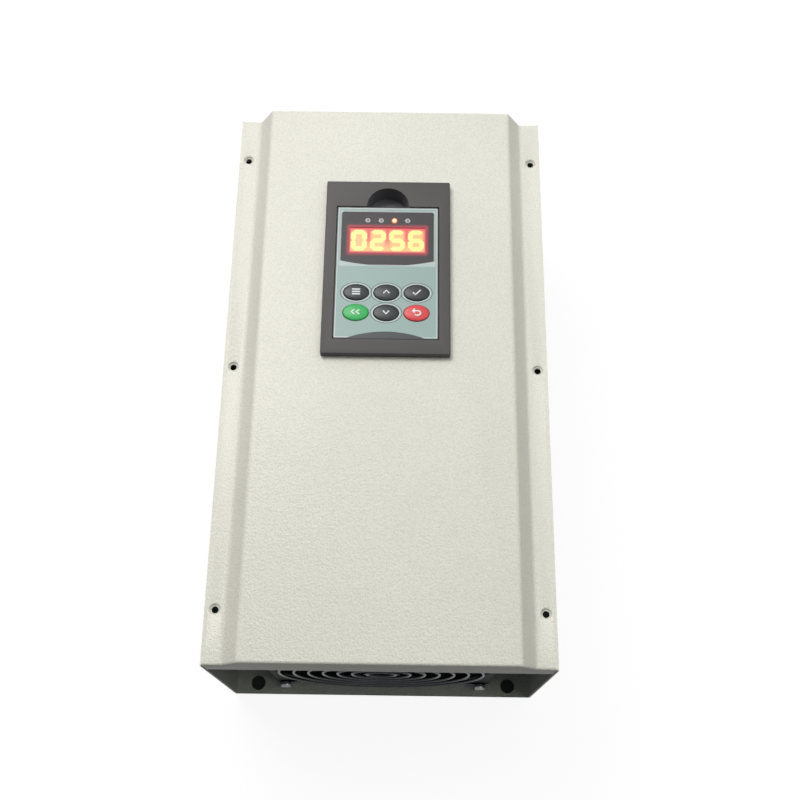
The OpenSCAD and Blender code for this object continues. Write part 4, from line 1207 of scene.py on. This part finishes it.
class MACHINE_OT_keys(bpy.types.Operator):
    """Moulds the six domed oval keys and prints their marks"""
    bl_idname = "machine.keys"
    bl_label = "Keys"

    def execute(self, context):
        sizes = context.scene.machine_sizes
        spots = [key.middle for key in KEYS.values()]
        caps = copied_to(self.make_cap(sizes, KEYS["key_program"]), spots)
        for (node, key), cap in zip(KEYS.items(), caps):
            stand_in(weld(node + "_cap", cap), node)
            mark_z = key.high.z + PRINT_LIFT
            strokes = [stroke(points, key.middle, mark_z, sizes.mark_width) for points in MARKS[node]]
            dress(smooth(weld(node + "_mark", *strokes)), node, "key_mark")
        return {"FINISHED"}

    def make_cap(self, sizes, key):
        """One cap: an oval barrel drawn out into a dome, on a wider flange and a stem."""
        x, y = key.middle.x, key.middle.y
        half_width, half_height = sizes.key_width / 2, sizes.key_height / 2
        rim_z = PAD.high.z + KEY_RIM_RISE
        flange_high = PAD.high.z - KEY_FLANGE_DEPTH
        flange_low = flange_high - KEY_FLANGE
        rest_hands()
        bpy.ops.mesh.primitive_cylinder_add(vertices=64, radius=1, depth=1,
                                            location=(x, y, (flange_high + rim_z) / 2))
        bpy.context.object.scale = (half_width, half_height, rim_z - flange_high)
        cap = settle("cap")
        pick(cap, "FACE", lambda mid, normal: normal.z > 0.9)
        turns = [math.radians(KEY_DOME_TURN * ring / KEY_RINGS) for ring in range(KEY_RINGS + 1)]
        dome((x, y, rim_z), (0, 0, 1), [
            ((math.cos(after) / math.cos(before)) ** KEY_FLATNESS,
             (key.high.z - rim_z) * (math.sin(after) - math.sin(before)))
            for before, after in zip(turns, turns[1:])])
        flange_x, flange_y = key.half.x, half_height + key.half.x - half_width
        pick(cap, "FACE", lambda mid, normal: normal.z < -0.9 and near(mid.z, flange_high))
        pull()
        resize(flange_x / half_width, flange_y / half_height, 1, (x, y, flange_high))
        pull(z=flange_low - flange_high)
        pull()
        resize(sizes.key_stem / flange_x, sizes.key_stem / flange_y, 1, (x, y, flange_low))
        pull(z=key.low.z - flange_low)
        return smooth(cap)


# Fan


HUB_WALL, HUB_BACK_GAP = 3 * MM, 6 * MM
DISH_RIM, DISH_DEPTH = 13.2 * MM, 0.9 * MM
SHAFT_RADIUS, SHAFT_START = 3 * MM, 2 * MM
BLADE_STATIONS = 10
HEAD_RADIUS, HEAD_HEIGHT, HEAD_DOME = 4 * MM, 2.6 * MM, 0.9 * MM
SLOT_HALF_WIDTH, SLOT_REACH, SLOT_DEPTH = 0.55 * MM, 2.1 * MM, 1.5 * MM
SHANK_RADIUS = 2 * MM
NUT_RADIUS, NUT_HEIGHT, PANEL_SHEET = 4.04 * MM, 3 * MM, 1.5 * MM
SCREW_DOME = ((0.93, 0.35 * MM), (0.82, 0.25 * MM), (0.62, 0.2 * MM), (0.3, 0.1 * MM))


class MACHINE_OT_fan(bpy.types.Operator):
    """Makes the fan's frame, its bladed wheel and its cross-slotted screws"""
    bl_idname = "machine.fan"
    bl_label = "Fan"

    def execute(self, context):
        sizes = context.scene.machine_sizes
        shell = soften(traced("fan_frame", "moulded_fan_frame"), EDGES["fan_frame"], segments=3)
        stand_in(shell, "fan_frame")
        self.make_wheel(sizes)
        half = sizes.fan_pitch / 2
        spots = [FAN.middle + Vector((x, 0, z)) for x in (-half, half) for z in (-half, half)]
        screws = copied_to(self.make_screw(spots[0].x, spots[0].z), spots)
        stand_in(weld("cross_slotted_screws", *screws), "fan_screws")
        return {"FINISHED"}

    def on_axis(self, y):
        return Vector((FAN.middle.x, y, FAN.middle.z))

    def make_wheel(self, sizes):
        """The hub cup with its shaft, and one blade copied round the axis."""
        front, back = ROTOR.low.y, FAN.high.y - HUB_BACK_GAP
        hub = turned("hub", self.on_axis(front), self.on_axis(back), sizes.hub_radius, 72)
        pick(hub, "FACE", lambda mid, normal: normal.y < -0.9)
        bpy.ops.mesh.inset(thickness=DISH_RIM)
        pull(y=DISH_DEPTH)
        pick(hub, "FACE", lambda mid, normal: normal.y > 0.9 and near(mid.y, back))
        bpy.ops.mesh.inset(thickness=HUB_WALL)
        pull(y=front + HUB_WALL - back)
        soften(hub, EDGES["hub"], segments=3)
        blade = self.make_blade(sizes, front, back)
        to_axis = Matrix.Translation(FAN.middle)
        turns = [Matrix.Rotation(index * math.tau / sizes.blade_count, 4, "Y")
                 for index in range(1, sizes.blade_count)]
        blades = [copied(blade, to_axis @ turn @ to_axis.inverted()) for turn in turns]
        shaft = turned("shaft", self.on_axis(front + SHAFT_START), self.on_axis(ROTOR.high.y),
                       SHAFT_RADIUS, 32)
        stand_in(weld("moulded_fan_wheel", hub, shaft, blade, *blades), "fan_rotor")

    def make_blade(self, sizes, front, back):
        """One blade: an arc drawn out from the hub, twisted flatter and widened on the way to its tip."""
        axis, bow = self.on_axis((front + back) / 2), sizes.blade_bow
        room, past_tip, past_ends, sink = 4 * MM, 5 * MM, 9 * MM, 1.5 * MM
        root, tip = 0.8 * sizes.hub_radius, ROTOR.half.x
        step = (tip + past_tip - root) / BLADE_STATIONS
        untwist = (sizes.blade_tip_tilt - sizes.blade_root_tilt) / BLADE_STATIONS
        tilts = [sizes.blade_root_tilt + untwist * station for station in range(BLADE_STATIONS + 1)]
        half_chord = (back - front - room) / math.sin(tilts[0]) / 2
        rest_hands()
        bpy.ops.mesh.primitive_circle_add(vertices=144, radius=bow, fill_type="NOTHING",
                                          location=axis + Vector((root, 0, -bow)),
                                          rotation=(0, math.pi / 2, 0))
        blade = settle("blade")
        pick(blade, "VERT", lambda spot: abs(spot.y - axis.y) > half_chord or spot.z < axis.z - bow)
        bpy.ops.mesh.delete(type="VERT")
        bpy.ops.mesh.select_all(action="SELECT")
        self.tilt(math.pi / 2 - tilts[0], axis + Vector((root, 0, 0)))
        for station, (before, after) in enumerate(zip(tilts, tilts[1:]), start=1):
            centre = axis + Vector((root + station * step, 0, 0))
            grown = math.sin(before) / math.sin(after)
            pull(x=step)
            self.tilt(before - after, centre)
            resize(1, grown, grown, centre)
        press(blade, "SOLIDIFY", thickness=sizes.blade_wall, offset=0.0, use_even_offset=True)
        ends = self.on_axis(front - past_ends), self.on_axis(back + past_ends)
        carve(blade, turned("sweep", *ends, tip, 144), operation="INTERSECT", solver="MANIFOLD")
        carve(blade, turned("core", *ends, sizes.hub_radius - sink, 72), solver="MANIFOLD")
        return soften(blade, EDGES["blade"])

    def tilt(self, angle, centre):
        bpy.ops.transform.rotate(value=-angle, orient_axis="X", center_override=centre)

    def make_screw(self, x, z):
        """One screw: a domed head with a cross slot, its shank, and its nut behind the end panel."""
        head_y = SCREWS.low.y
        seat_y = head_y + HEAD_HEIGHT
        head = turned("head", (x, seat_y, z), (x, head_y + HEAD_DOME, z), HEAD_RADIUS, 40)
        pick(head, "FACE", lambda mid, normal: normal.y < -0.9)
        dome((x, head_y, z), (0, -1, 0), SCREW_DOME)
        for long_x, long_z in ((SLOT_REACH, SLOT_HALF_WIDTH), (SLOT_HALF_WIDTH, SLOT_REACH)):
            carve(head, block("slot", (x - long_x, head_y - MM, z - long_z),
                              (x + long_x, head_y + SLOT_DEPTH, z + long_z)))
        shank = turned("shank", (x, seat_y - 0.1 * MM, z), (x, SCREWS.high.y, z), SHANK_RADIUS, 24)
        nut_y = PANEL.low.y + PANEL_SHEET
        nut = turned("nut", (x, nut_y, z), (x, nut_y + NUT_HEIGHT, z), NUT_RADIUS, 6)
        return weld("screw", smooth(head), smooth(shank), soften(nut, EDGES["nut"]))


# Pieces that keep their frame shape, with rounder edges


EDGED = {"cable_grommet_left": "grommet", "cable_grommet_right": "grommet", "keypad_housing": "housing"}


class MACHINE_OT_fittings(bpy.types.Operator):
    """Rounds the edges of the rubber grommets and the keypad housing"""
    bl_idname = "machine.fittings"
    bl_label = "Fittings"

    def execute(self, context):
        for node, kind in EDGED.items():
            stand_in(soften(traced(node, "rounded_" + node), EDGES[kind]), node)
        return {"FINISHED"}


# Add-on


class MACHINE_PT_panel(bpy.types.Panel):
    """Lists the steps that dress the machine"""
    bl_idname = "MACHINE_PT_panel"
    bl_label = "Induction Heating Machine"
    bl_space_type = "VIEW_3D"
    bl_region_type = "UI"
    bl_category = "Machine"

    def draw(self, context):
        layout = self.layout
        for step in STEPS:
            layout.operator(step.bl_idname)
        for group in (context.scene.machine_sizes, context.scene.machine_colours):
            box = layout.box()
            for key in group.__annotations__:
                box.prop(group, key)


STEPS = (
    MACHINE_OT_stage,
    MACHINE_OT_finishes,
    MACHINE_OT_cover,
    MACHINE_OT_chassis,
    MACHINE_OT_tray,
    MACHINE_OT_display,
    MACHINE_OT_keys,
    MACHINE_OT_fan,
    MACHINE_OT_fittings,
)
CLASSES = (MachineSizes, MachineColours, *STEPS, MACHINE_PT_panel)


def register():
    for cls in CLASSES:
        bpy.utils.register_class(cls)
    bpy.types.Scene.machine_sizes = PointerProperty(type=MachineSizes)
    bpy.types.Scene.machine_colours = PointerProperty(type=MachineColours)


def unregister():
    del bpy.types.Scene.machine_colours
    del bpy.types.Scene.machine_sizes
    for cls in reversed(CLASSES):
        bpy.utils.unregister_class(cls)


def main():
    register()
    bpy.ops.machine.stage()
    bpy.ops.machine.finishes()
    bpy.ops.machine.cover()
    bpy.ops.machine.chassis()
    bpy.ops.machine.tray()
    bpy.ops.machine.display()
    bpy.ops.machine.keys()
    bpy.ops.machine.fan()
    bpy.ops.machine.fittings()


if __name__ == "__main__":
    main()
